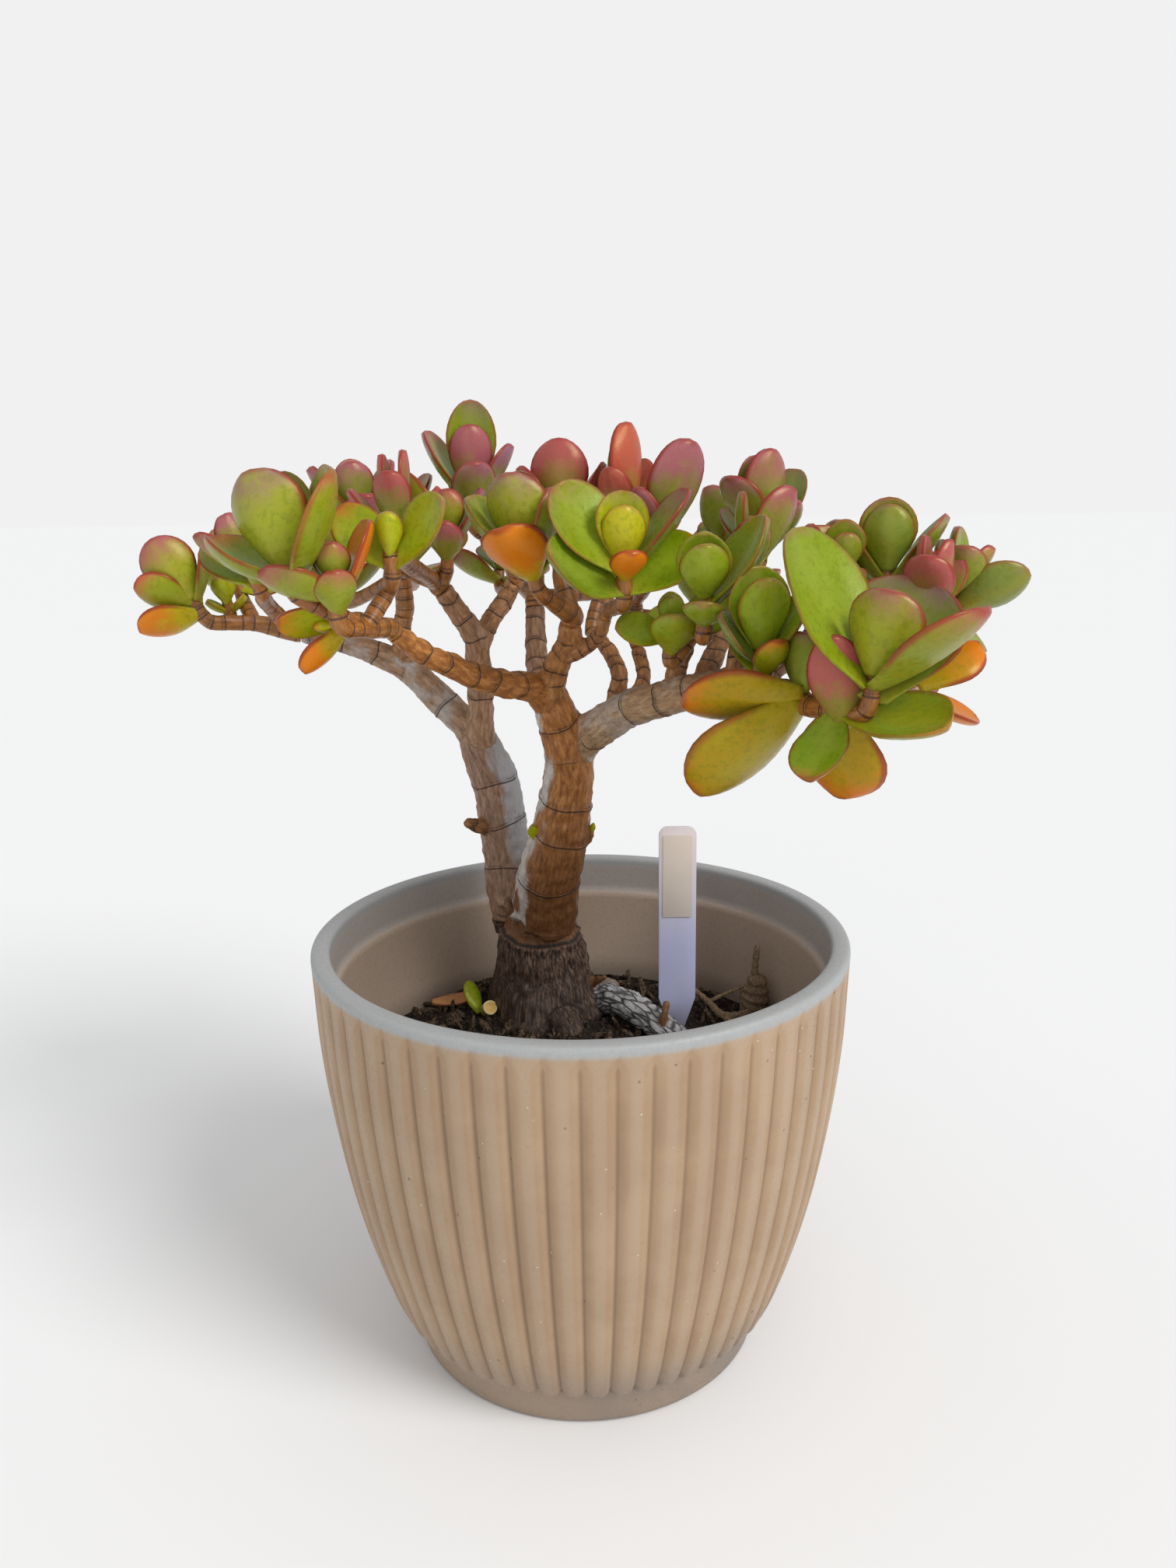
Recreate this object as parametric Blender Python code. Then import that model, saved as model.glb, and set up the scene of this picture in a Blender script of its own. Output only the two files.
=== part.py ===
"""Jade bonsai (Crassula ovata grown as a small tree) in a fluted pot.

Metres, +Z up. The origin is the centre of the pot's underside, and the front of the
tree looks along -Y. Tables are in millimetres and are turned into metres by MM.
"""
import bpy
import bmesh
import numpy as np
from mathutils import Vector
from mathutils.bvhtree import BVHTree

MM = 0.001
SEED = 23
WELD = 0.000001
FUSE_TRIES = 5
FUSE_SHIFT = 0.04

# Clearance left between two pieces that touch
GAP = 0.3

# Pot, turned about Z
POT_HEIGHT = 176.7
RIM_RADIUS = 110.0
LIP_WIDTH = 7.7
STEP_DROP = 17.0
STEP_WIDTH = 1.6
FLOOR_TOP = 9.0
FOOT_RADIUS = 73.4
FOOT_BAND = 16.5
BAND_RADIUS = 78.3
FLUTES = 55
FLUTE_DEPTH = 1.6
FLUTE_HEAD = 171.0
FLUTE_RUNOUT = 4.0
# Across one flute: share of its width, and depth as a share of the groove's
FLUTE_SHAPE = ((0.0, 1.0), (0.25, 0.0), (0.75, 0.0))
RIB_ROWS = (19.5, 33, 60, 105, 166)
OUTLINE_HEIGHTS = (-18, 0, 14, 27, 47, 72, 102, 137, 170)
OUTLINE_RADII = (52, 72.4, 79.6, 85.6, 92.1, 98.5, 104.0, 108.1, 109.7)

# Soil, and the rows of the wall that it fills from the top down
SOIL_ROWS = (60, FLOOR_TOP)
SOIL_RINGS = (1.0, 0.8, 0.58, 0.34, 0.1)
SOIL_EDGE = 116.0
MOUND_HEIGHT = 5.0
MOUND_REACH = 46.0
SOIL_BUMP = 1.1
HOLE_MARGIN = 0.45
TRUNK_X = -17.0
TRUNK_Y = 48.0

# Wood: points are (x, y, z, radius). The last point of a twig is where a leafy spray begins.
TRUNK = ((-17, 49, 80, 23.5), (-17, 49, 119, 24.5), (-18, 48, 130, 23.2), (-18, 48, 142, 22.2),
         (-19, 46, 155, 21.4), (-19, 45, 164, 19.5))
FRONT_LEG = ((-18, 44, 154, 15.8), (-16, 38, 173, 14.8), (-14, 32, 190, 13.8), (-10, 28, 205, 12.9),
             (-6, 23, 226, 11.2), (-4, 19, 242, 10.4), (-6, 14, 256, 9.2), (-10, 8, 270, 8.0),
             (-13, 4, 278, 6.6))
BACK_LEG = ((-22, 48, 148, 14.5), (-31, 57, 172, 12.2), (-34, 60, 194, 11.2), (-36, 60, 210, 10.9),
            (-38, 60, 225, 10.7), (-42, 60, 236, 10.2), (-46, 61, 246, 8.6))
LEFT_BRANCH = ((-11, 8, 270, 6.6), (-17, 0, 278, 6.0), (-27, -15, 282, 5.3), (-37, -28, 287, 4.9),
               (-46, -40, 293, 4.4), (-55, -52, 300, 3.9), (-61, -62, 307, 3.4))
CENTRE_BRANCH = ((-12, 5, 273, 6.3), (-8, -2, 287, 5.1), (-3, -8, 297, 4.6), (-2, -13, 305, 4.2))
CENTRE_TWIG = ((-6, -4, 290, 3.4), (3, -11, 295, 3.0), (9, -18, 301, 2.7), (11, -25, 308, 2.5))
RIGHT_BRANCH = ((-5, 18, 244, 8.8), (3, 15, 255, 8.3), (15, 0, 266, 7.5), (23, -10, 272, 7.1),
                (32, -20, 276, 6.8), (41, -30, 280, 6.5), (52, -42, 284, 6.0), (62, -53, 286, 5.5),
                (70, -63, 285, 5.0))
BACK_TWIG = ((14, 1, 268, 4.0), (17, 8, 282, 3.4), (13, 20, 290, 3.2), (8, 29, 296, 3.0))
MIDDLE_TWIG = ((24, -11, 274, 3.8), (26, -6, 284, 3.0), (24, -2, 294, 2.7))
ROSETTE_TWIG = ((36, -24, 279, 4.4), (39, -24, 292, 3.5), (43, -27, 302, 3.0))
SIDE_TWIG = ((46, -35, 282, 4.6), (52, -22, 294, 4.0), (57, -12, 303, 3.5))
INNER_TWIG = ((57, -47, 285, 4.2), (57, -46, 295, 3.5), (58, -46, 305, 2.9))
FRONT_TWIG = ((62, -53, 286, 3.8), (64, -60, 292, 3.2))
UPPER_RIGHT = ((62, -53, 286, 4.8), (72, -50, 294, 4.6), (82, -51, 301, 4.4), (89, -54, 306, 4.2))
RIGHT_TWIG = ((50, -40, 284, 4.6), (66, -33, 290, 4.2), (80, -28, 295, 3.8), (88, -27, 299, 3.6))
INNER_STEM = ((-43, 60, 238, 7.2), (-44, 56, 250, 6.3), (-43, 50, 266, 5.8), (-43, 46, 282, 5.5),
              (-44, 41, 295, 5.0), (-50, 34, 306, 4.6), (-55, 29, 315, 4.2))
INNER_RIGHT = ((-43, 44, 289, 4.6), (-37, 48, 301, 4.3), (-31, 52, 309, 4.0), (-28, 54, 315, 3.7))
FAR_LEFT_BRANCH = ((-42, 60, 238, 8.0), (-50, 62, 252, 7.4), (-59, 64, 260, 7.0), (-68, 66, 269, 6.7),
                   (-78, 68, 278, 6.0), (-94, 68, 286, 5.4), (-110, 64, 292, 4.8),
                   (-122, 61, 295, 4.4))
HIND_TWIG = ((-76, 68, 276, 4.8), (-79, 66, 290, 4.3), (-77, 63, 302, 4.0))
HIND_STEM = ((-8, 16, 252, 6.6), (-11, 26, 262, 6.2), (-16, 46, 272, 5.4), (-18, 61, 282, 5.0),
             (-19, 69, 295, 4.6), (-19, 72, 304, 4.3))
OLD_ROOT = ((-2, 50, 121, 9.0), (8, 46, 125, 7.0), (17, 37, 128, 6.2), (29, 26, 125, 6.4),
            (41, 17, 119, 6.0), (50, 11, 111, 4.0))
ROOT_STUB = ((2, 54, 123, 7.5), (9, 51, 128, 5.4), (14, 46, 131, 3.8))
ROOT_SPROUT = ((36, 19, 118, 2.6), (35.5, 17, 127, 2.1), (37, 18, 135, 1.5))
FRONT_ROOT = ((-14, 40, 126, 11.0), (-7, 26, 121, 7.5), (-1, 16, 115, 4.0))
LEFT_ROOT = ((-26, 50, 126, 11.0), (-37, 53, 119, 6.5), (-46, 56, 112, 3.5))
BASE_BUD = ((3, 44, 134, 3.0), (7, 40, 137, 2.0), (10, 38, 139, 1.3))
BUD_LEFT = ((-36, 52, 206, 4.0), (-46, 46, 208, 3.2), (-50, 43, 210, 2.2))
WOOD_SIDES = 8
WOOD_STEP = 15
SCAR_SWELL = 0.05

# Leaves, measured along and across the blade
LEAF_THICKNESS = 4.4
LEAF_ROOT_WIDTH = 0.30
LEAF_WIDEST = 0.60
LEAF_CURL = 0.25
LEAF_STATIONS = (0.28, 0.58, 0.85)
DEEP_CUP = 0.35
LEAF_CLEARANCE = 0.9
ROOT_OFFSET = 0.8
# Chance change of a leaf's length, opening, twist and heading
LEAF_JITTER = (0.05, 3, 9, 6)
SPREAD_STEPS = (0, 6, -6, 12, -12, 18, -18, 26)
TURN_STEPS = (0, 10, -10, 20, -20, 32, -32)
SIZE_STEPS = (1.0, 0.88, 0.76, 0.64)

# A leaf is (length, opening from the shoot's axis) and may add a turn of its blade and its width
# as a share of its length.
# Pairs run from the youngest, at the tip, to the oldest, and each pair stands square to the last.
NONE = None
OLD_PAIRS = (((20, 12), (20, 12)), ((27, 28), (26, 32)), ((28, 48), (26, 52)), ((24, 70), (24, 72)))
SHOOTS = {
    "far_left": dict(tip=(-164, 44, 312), axis=(-.5, -.1, .86), roll=20, wide=.74, step=1.6,
                     pairs=(((28, 8), (24, 10)), ((27, 32), (25, 44, 45)), ((24, 52), NONE),
                            ((25, 80, 35), NONE))),
    "left_twig": dict(tip=(-152, 70, 317), axis=(-.3, .1, .95), roll=0, wide=.64,
                      pairs=(((24, 8), (22, 10)), ((22, 105, 40), (21, 50, 30)))),
    "left_bud": dict(tip=(-154, 60, 309), axis=(-.1, -.2, 1), roll=10, wide=.80,
                     pairs=(((13, 18), (12, 18)), ((9, 60), (9, 60)))),
    "left_inner": dict(tip=(-130, 10, 328), axis=(-.4, -.1, 1), roll=45, wide=.72, pairs=OLD_PAIRS[:3]),
    "left_cup": dict(tip=(-89, -90, 330), axis=(-.25, -.05, 1), roll=-20, wide=.80, cup=.45,
                     pairs=(((31, 10), (30, 16)), ((37, 36, 20), (31, 54)))),
    "branch_tip": dict(tip=(-75, -88, 325), axis=(-.05, -.1, 1), roll=-155, wide=.78,
                       pairs=(((14, 12), (13, 12)), ((25, 68, 20), (25, 10)), ((17, 30), NONE))),
    "branch_spur": dict(tip=(-75, -76, 312), axis=(-.9, -.3, -.1), roll=90, wide=.64,
                        pairs=(((21, 14, 45), (21, 46, 40)),)),
    "rosette": dict(tip=(-59, -76, 334), axis=(0, -.15, 1), roll=0, wide=.64,
                    pairs=(((14, 10), (13, 10)), ((27, 42, 35), (26, 44, -35)))),
    "rosette_behind": dict(tip=(-63, -35, 345), axis=(0, 0, 1), roll=90, wide=.56,
                           pairs=(((22, 14), (22, 14)), ((36, 4, 45), (22, 10)), ((24, 45), (24, 45)))),
    "left_high": dict(tip=(-83, 0, 346), axis=(-.1, 0, 1), roll=20, wide=.72,
                      pairs=(((20, 12), (20, 12)), ((26, 30), (26, 30)), ((22, 60), (22, 50)))),
    "inner_tip": dict(tip=(-51, 15, 337), axis=(.05, 0, 1), roll=0, wide=.72,
                      pairs=(((18, 10), (18, 10)), ((27, 30, 20), (32, 14, 20)), ((20, 50), (20, 50)))),
    "crown_top": dict(tip=(-43, 45, 354), axis=(0, 0, 1), roll=8, wide=.70,
                      pairs=(((26, 10), (36, 8)), ((28, 28), (34, 32)), ((28, 45), (26, 40)))),
    "centre_cup": dict(tip=(-16, -34, 332), axis=(-.2, -.1, 1), roll=-20, wide=.80, cup=.40,
                       pairs=(((29, 14), (28, 14)), ((28, 26), (31, 22)), ((24, 45), (27, 47)))),
    "red_pair": dict(tip=(-6, 0, 344), axis=(0, 0, 1), roll=0, wide=.72,
                     pairs=(((28, 8), (28, 12)), ((27, 22), (27, 18)), ((24, 40), (24, 45)))),
    "lime_rosette": dict(tip=(17, -54, 329), axis=(0, -.1, 1), roll=8, wide=.74, step=2.0,
                         pairs=(((20, 10), (24, 10)), ((34, 37), (35, 19, -30)), ((24, 35), (16, 55)),
                                ((34, 40, -45), (29, 54, 40)))),
    "tall_red": dict(tip=(19, -10, 345), axis=(0, 0, 1), roll=60, wide=.60,
                     pairs=(((33, 4), (26, 12)), ((28, 12), (24, 20)), ((24, 40), (24, 45)))),
    "pink_leaner": dict(tip=(30, -30, 337), axis=(.15, 0, 1), roll=40, wide=.60,
                        pairs=(((35, 20), (26, 12)), ((32, 10), (24, 25)))),
    "green_round": dict(tip=(44, -62, 318), axis=(0, -.05, 1), roll=-10, wide=.80,
                        pairs=(((20, 32), (22, 12)), ((34, 14), (28, 30)), ((37, 8), (18, 70)))),
    "green_low": dict(tip=(34, -44, 306), axis=(0, -.2, 1), roll=0, wide=.74,
                      pairs=(((12, 15), (12, 15)), ((26, 72, 30), (29, 82, -30)), ((20, 60), (20, 40)))),
    "side_tip": dict(tip=(72, 5, 339), axis=(0, 0, 1), roll=40, wide=.70,
                     pairs=(((30, 12), (28, 14)), ((32, 18), (28, 20)), ((24, 50), (24, 50)))),
    "pink_edge": dict(tip=(62, -40, 328), axis=(0, 0, 1), roll=80, wide=.62,
                      pairs=(((29, 34, -45), (24, 14)), ((22, 15), (20, 20)))),
    "green_cup": dict(tip=(62, -72, 301), axis=(0, -.1, 1), roll=20, wide=.76,
                      pairs=(((22, 10), (26, 12)), ((24, 30), (32, 24, -20)), ((20, 40), (17, 38)))),
    "great_rosette": dict(tip=(92, -105, 297), axis=(.16, -.2, 1), roll=-28, wide=.66,
                          pairs=(((27, 12, 0, .82), (25, 14, 0, .8)), ((42, 46, -10), (50, 38, -20, .72)),
                                 ((45, 26, 0, .78), NONE))),
    "skirt_left": dict(tip=(76, -76, 287), axis=(.1, -.1, 1), roll=90, wide=.80, step=.5,
                       pairs=((NONE, (26, 30, 40)), (NONE, NONE), ((38, 104, 40), NONE), (NONE, NONE),
                              (NONE, (45, 140, 62)))),
    "skirt_front": dict(tip=(84, -92, 285), axis=(.05, -.1, 1), roll=-30, wide=.82, step=.5,
                        pairs=((NONE, (28, 60)), ((36, 92, 25), NONE), ((35, 165), (29, 140, 10)),
                               (NONE, (37, 152, -35)))),
    "skirt_red": dict(tip=(86, -95, 279.5), axis=(-.26, -.32, 1), roll=-20, wide=.60, step=.5,
                      pairs=(((37, 6), NONE),)),
    "right_front": dict(tip=(89, -70, 326), axis=(0, 0, 1), roll=0, wide=.78,
                        pairs=(((13, 25), (27, 10)), ((27, 14), (22, 14)), ((30, 30), (16, 55)))),
    "right_mid": dict(tip=(105, -63, 326), axis=(0, 0, 1), roll=-10, wide=.76,
                      pairs=(((21, 8), (24, 10)), ((27, 22), (25, 18)), ((34, 6), NONE))),
    "right_red": dict(tip=(115, -80, 316), axis=(.1, 0, 1), roll=60, wide=.72,
                      pairs=(((21, 14), (21, 18)), ((24, 20), (22, 35)))),
    "right_end": dict(tip=(130, -62, 322), axis=(.1, 0, 1), roll=60, wide=.80,
                      pairs=(((15, 38), (18, 12)), ((29, 6), (18, 35)), ((24, 30), (26, 36, -40)),
                             (NONE, (26, 98, 40)))),
    "right_low": dict(tip=(112, -80, 288), axis=(.8, .2, .25), roll=90, wide=.72,
                      pairs=(((24, 50, 30), (26, 18, 30)), ((26, 20, 60), NONE))),
    "hind_left": dict(tip=(-115, 95, 324), axis=(-.4, .3, 1), roll=10, wide=.72, pairs=OLD_PAIRS),
    "hind_left_back": dict(tip=(-80, 115, 332), axis=(-.1, .4, 1), roll=50, wide=.72, pairs=OLD_PAIRS),
    "hind_left_high": dict(tip=(-77, 52, 342), axis=(0, 0, 1), roll=30, wide=.72, pairs=OLD_PAIRS[:3]),
    "hind_mid": dict(tip=(-18, 88, 340), axis=(0, .2, 1), roll=70, wide=.72, pairs=OLD_PAIRS),
    "hind_back": dict(tip=(-38, 130, 327), axis=(0, .5, 1), roll=15, wide=.72, pairs=OLD_PAIRS),
    "hind_right": dict(tip=(20, 112, 328), axis=(.1, .5, 1), roll=85, wide=.72, pairs=OLD_PAIRS),
    "back_high": dict(tip=(25, 50, 342), axis=(0, .1, 1), roll=40, wide=.72, pairs=OLD_PAIRS),
    "side_back": dict(tip=(66, 44, 332), axis=(.2, .3, 1), roll=20, wide=.72, pairs=OLD_PAIRS),
    "back_corner": dict(tip=(62, 88, 314), axis=(.4, .6, 1), roll=60, wide=.72, pairs=OLD_PAIRS),
    "side_right": dict(tip=(102, 8, 318), axis=(.5, .2, 1), roll=35, wide=.72, pairs=OLD_PAIRS),
    "side_low": dict(tip=(122, -28, 304), axis=(.7, .1, .9), roll=75, wide=.72, pairs=OLD_PAIRS),
}

# Sprays: the twig each begins on, its stems as (shoot at the end, where it forks off, points
# between) and the radius it starts with. The first stem carries the others.
SPRAYS = {
    "spray_far_left": (FAR_LEFT_BRANCH, (
        ("far_left", 0.0, ((-141, 55, 300), (-154, 50, 307))),
        ("left_twig", 0.40, ((-144, 62, 308),)),
        ("left_bud", 0.52, ((-148, 59, 306),)),
        ("left_inner", 0.12, ((-130, 36, 310), (-131, 22, 319))))),
    "spray_left_front": (LEFT_BRANCH, (
        ("branch_tip", 0.0, ((-69, -77, 317),)),
        ("left_cup", 0.50, ((-80, -83, 323),)),
        ("branch_spur", 0.28, ((-70, -73, 313),)),
        ("rosette", 0.32, ((-62, -70, 321),)))),
    "spray_left_middle": (INNER_STEM, (
        ("inner_tip", 0.0, ((-56, 22, 327),)),
        ("rosette_behind", 0.35, ((-60, 3, 330), (-63, -20, 337))),
        ("left_high", 0.25, ((-68, 14, 332), (-78, 5, 338))))),
    "spray_crown_top": (INNER_RIGHT, (
        ("crown_top", 0.0, ((-31, 54, 330), (-40, 48, 342))),)),
    "spray_hind_left": (HIND_TWIG, (
        ("hind_left_high", 0.0, ((-76, 57, 320), (-77, 53, 332))),
        ("hind_left", 0.30, ((-92, 76, 312), (-106, 90, 318))),
        ("hind_left_back", 0.30, ((-78, 80, 316), (-80, 103, 324))))),
    "spray_hind": (HIND_STEM, (
        ("hind_mid", 0.0, ((-19, 78, 320), (-18, 86, 332))),
        ("hind_back", 0.15, ((-27, 96, 312), (-35, 119, 320))),
        ("hind_right", 0.20, ((-4, 90, 314), (14, 104, 320))))),
    "spray_centre": (CENTRE_BRANCH, (
        ("centre_cup", 0.0, ((-7, -23, 316), (-12, -29, 323))),
        ("red_pair", 0.18, ((-5, -12, 320), (-6, -3, 332))))),
    "spray_lime": (CENTRE_TWIG, (
        ("lime_rosette", 0.0, ((13, -36, 319), (17, -49, 324))),)),
    "spray_tall_red": (MIDDLE_TWIG, (
        ("tall_red", 0.0, ((23, -4, 312), (20, -8, 330))),
        ("pink_leaner", 0.35, ((26, -17, 318), (29, -26, 328))))),
    "spray_back": (BACK_TWIG, (
        ("back_high", 0.0, ((10, 40, 310), (21, 48, 327))),
        ("back_corner", 0.22, ((26, 56, 302), (50, 78, 308))))),
    "spray_green": (ROSETTE_TWIG, (
        ("green_round", 0.0, ((46, -42, 309), (45, -56, 313))),
        ("green_low", 0.40, ((39, -36, 304),)))),
    "spray_side": (SIDE_TWIG, (
        ("side_tip", 0.0, ((66, -2, 318), (72, 4, 329))),
        ("side_back", 0.30, ((66, 16, 318), (66, 35, 324))))),
    "spray_pink_edge": (INNER_TWIG, (
        ("pink_edge", 0.0, ((61, -43, 319),)),)),
    "spray_green_cup": (FRONT_TWIG, (
        ("green_cup", 0.0, ((64, -68, 297),)),)),
    "spray_upper_right": (UPPER_RIGHT, (
        ("right_mid", 0.0, ((100, -60, 316),)),
        ("right_front", 0.15, ((92, -64, 316),)),
        ("right_red", 0.35, ((107, -69, 311),)),
        ("right_end", 0.45, ((116, -60, 316), (127, -61, 318))))),
    "spray_right_front": (RIGHT_BRANCH, (
        ("great_rosette", 0.0, ((77, -77, 283), (85, -91, 283), (90, -100, 289))),
        ("right_low", 0.30, ((94, -80, 285), (104, -81, 286))))),
    "spray_right_side": (RIGHT_TWIG, (
        ("side_right", 0.0, ((97, -14, 306), (101, 2, 312))),
        ("side_low", 0.20, ((106, -26, 300), (116, -28, 301))))),
}
STEMLESS = {"spray_right_front": ("skirt_left", "skirt_front", "skirt_red")}
TIP_RADIUS = 2.4
BUD_HEIGHT = 3.5
LEAFED_RADIUS = 3.0
LEAFED_MARGIN = 4.0
STEM_SIDES = 5
STEM_STEP = 16.0

# Plant label
LABEL_WIDTH = 16.5
LABEL_THICKNESS = 1.0
LABEL_TOP = 212.0
LABEL_TIP = 108.0
LABEL_POINT = 24.0
LABEL_CORNER = 4.0
LABEL_PLACE = (42.6, 31.0)
STICKER_SIZE = (15.0, 39.0)
STICKER_THICKNESS = 0.4
STICKER_TOP = 206.0

# Litter lying on the soil: (place, heading, rise, length, width), angles in degrees
FALLEN_LEAF = ((-60, 57), 5, 0, 23, 12)
GREEN_BIT = ((-51, 45), 130, 50, 16, 8)
YELLOW_BIT = ((70, 22), 165, 15, 12, 8)
# The cut end: its two end points and radius
CUT_END = ((-44, 40, 0, 3.4), (-42, 34, 4, 3.4))
# Dry twigs and the root ball that carries them: points are (x, y, height, radius)
DRY_TWIGS = (((77, 41, 3, 4.5), (79, 40, 10, 6.5), (80, 40, 18, 4.5)),
             ((52, 45, 12, 1.2), (58, 40, 8, 1.6), (64, 35, 4, 1.8), (73, 34, 5, 1.6), (80, 38, 7, 1.4)),
             ((63, 36, 4, 1.6), (69, 29, 2, 1.3), (75, 24, 1, 1.0)),
             ((58, 41, 8, 1.0), (67, 42, 12, 0.9), (78, 41, 17, 0.8)),
             ((79, 40, 14, 1.8), (79, 41, 24, 1.6), (80, 41, 35, 1.3)))

COLOURS = {
    "pot": ((0.46, 0.34, 0.24), 0.55),
    "soil": ((0.045, 0.034, 0.026), 0.95),
    "bark": ((0.25, 0.17, 0.12), 0.75),
    "leaf": ((0.26, 0.38, 0.05), 0.35),
    "label": ((0.72, 0.70, 0.83), 0.35),
    "sticker": ((0.78, 0.72, 0.62), 0.40),
    "dry_leaf": ((0.55, 0.30, 0.22), 0.60),
    "cut_leaf": ((0.58, 0.55, 0.18), 0.45),
    "dry_wood": ((0.20, 0.14, 0.09), 0.85),
}


def clear_scene():
    for obj in list(bpy.data.objects):
        bpy.data.objects.remove(obj, do_unlink=True)


def unit(v):
    v = np.asarray(v, float)
    return v / np.linalg.norm(v)


def material(name):
    colour, roughness = COLOURS[name]
    mat = bpy.data.materials.new(name)
    mat.use_nodes = True
    shader = mat.node_tree.nodes["Principled BSDF"]
    shader.inputs["Base Color"].default_value = (*colour, 1.0)
    shader.inputs["Roughness"].default_value = roughness
    shader.inputs["Metallic"].default_value = 0.0
    mat.diffuse_color = (*colour, 1.0)
    return mat


def add_object(name, points, faces, mat=None):
    """An object from points in millimetres and faces, shaded smooth except at sharp edges."""
    mesh = bpy.data.meshes.new(name)
    mesh.from_pydata([tuple(np.asarray(p) * MM) for p in points], [], faces)
    mesh.validate()
    if mat is not None:
        mesh.materials.append(mat)
    obj = bpy.data.objects.new(name, mesh)
    bpy.context.scene.collection.objects.link(obj)
    mesh.shade_smooth()
    mesh.set_sharp_from_angle(angle=np.radians(50))
    return obj


def apply_boolean(obj, operation, tool=None, tools=None):
    """Apply a Boolean with one object or with a collection of them."""
    mod = obj.modifiers.new("join", "BOOLEAN")
    mod.operation = operation
    mod.solver = "EXACT"
    if tools is None:
        mod.object = tool
    else:
        mod.operand_type = "COLLECTION"
        mod.collection = tools
    depsgraph = bpy.context.evaluated_depsgraph_get()
    mesh = bpy.data.meshes.new_from_object(obj.evaluated_get(depsgraph))
    obj.modifiers.remove(mod)
    obj.data = mesh


def keep_largest(obj):
    """Drop loose scraps and sealed hollows, keeping the largest body."""
    bm = bmesh.new()
    bm.from_mesh(obj.data)
    bmesh.ops.remove_doubles(bm, verts=bm.verts, dist=WELD)
    bmesh.ops.dissolve_degenerate(bm, edges=bm.edges, dist=WELD)
    unseen = set(bm.faces)
    bodies = []
    while unseen:
        todo = [unseen.pop()]
        body = set(todo)
        while todo:
            for edge in todo.pop().edges:
                if len(edge.link_faces) != 2:
                    continue
                for face in edge.link_faces:
                    if face in unseen:
                        unseen.discard(face)
                        body.add(face)
                        todo.append(face)
        bodies.append(body)
    bodies.sort(key=len)
    for body in bodies[:-1]:
        bmesh.ops.delete(bm, geom=list(body), context="FACES")
    bmesh.ops.triangulate(bm, faces=bm.faces)
    bm.to_mesh(obj.data)
    bm.free()


def is_sound(obj):
    """True where every edge joins two faces once near points are one."""
    bm = bmesh.new()
    bm.from_mesh(obj.data)
    bmesh.ops.remove_doubles(bm, verts=bm.verts, dist=WELD)
    sound = all(len(edge.link_faces) == 2 for edge in bm.edges)
    bm.free()
    return sound and len(obj.data.polygons) > 3


def fuse(name, solids, mat):
    """One body from a list of (points, faces), by one union with a collection.

    Where surfaces meet along an edge by chance, the pieces are shifted by a hair and joined again.
    """
    rng = np.random.default_rng(SEED)
    for attempt in range(FUSE_TRIES):
        hair = FUSE_SHIFT * attempt
        base = add_object(name, *solids[0], mat)
        group = bpy.data.collections.new(name + "_pieces")
        for points, faces in solids[1:]:
            moved = np.asarray(points, float) + rng.uniform(-hair, hair, 3)
            piece = add_object(name + "_piece", moved, faces, mat)
            bpy.context.scene.collection.objects.unlink(piece)
            group.objects.link(piece)
        apply_boolean(base, "UNION", tools=group)
        for piece in list(group.objects):
            bpy.data.objects.remove(piece, do_unlink=True)
        bpy.data.collections.remove(group)
        keep_largest(base)
        if is_sound(base):
            return base
        if attempt < FUSE_TRIES - 1:
            bpy.data.objects.remove(base, do_unlink=True)
    return base


def smooth_path(points, step):
    """Points at most a step apart on a smooth curve through the given ones."""
    p = np.asarray(points, float)
    ends = np.vstack([2 * p[0] - p[1], p, 2 * p[-1] - p[-2]])
    path = []
    for a, b, c, d in zip(ends[:-3], ends[1:-2], ends[2:-1], ends[3:]):
        count = max(1, int(np.ceil(np.linalg.norm(c[:3] - b[:3]) / step)))
        for t in np.arange(count) / count:
            path.append(0.5 * (2 * b + (c - a) * t + (2 * a - 5 * b + 4 * c - d) * t * t
                               + (3 * b - a - 3 * c + d) * t ** 3))
    path.append(p[-1])
    return np.array(path)


def tube(path, sides, start_side=(0, -1, 0)):
    """A closed tube through (x, y, z, radius) points, its rings square to the path."""
    centres = path[:, :3]
    tangents = np.gradient(centres, axis=0)
    side = np.asarray(start_side, float)
    points = []
    for centre, tangent, radius in zip(centres, tangents, path[:, 3]):
        tangent = unit(tangent)
        side = unit(side - tangent * side.dot(tangent))
        across = np.cross(tangent, side)
        for k in range(sides):
            angle = 2 * np.pi * k / sides
            points.append(centre + radius * (side * np.cos(angle) + across * np.sin(angle)))
    rings = len(path)
    faces = [tuple(reversed(range(sides))), tuple(range((rings - 1) * sides, rings * sides))]
    for i in range(rings - 1):
        for k in range(sides):
            n = (k + 1) % sides
            faces.append((i * sides + k, i * sides + n, (i + 1) * sides + n, (i + 1) * sides + k))
    return points, faces


def ringed(path):
    """Swell every second ring of a branch, where leaf pairs once grew."""
    out = np.array(path)
    out[1:-1:2, 3] *= 1 + SCAR_SWELL
    out[2:-1:2, 3] *= 1 - SCAR_SWELL / 2
    return out


def pot_radius(z):
    """Outside radius of the plain pot at height z, on a smooth curve."""
    heights = np.array(OUTLINE_HEIGHTS, float)
    radii = np.array(OUTLINE_RADII, float)
    slopes = np.gradient(radii, heights)
    i = int(np.clip(np.searchsorted(heights, z) - 1, 0, len(heights) - 2))
    span = heights[i + 1] - heights[i]
    t = np.clip((z - heights[i]) / span, 0, 1)
    return ((2 * t ** 3 - 3 * t ** 2 + 1) * radii[i] + (t ** 3 - 2 * t ** 2 + t) * span * slopes[i]
            + (3 * t ** 2 - 2 * t ** 3) * radii[i + 1] + (t ** 3 - t ** 2) * span * slopes[i + 1])


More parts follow.
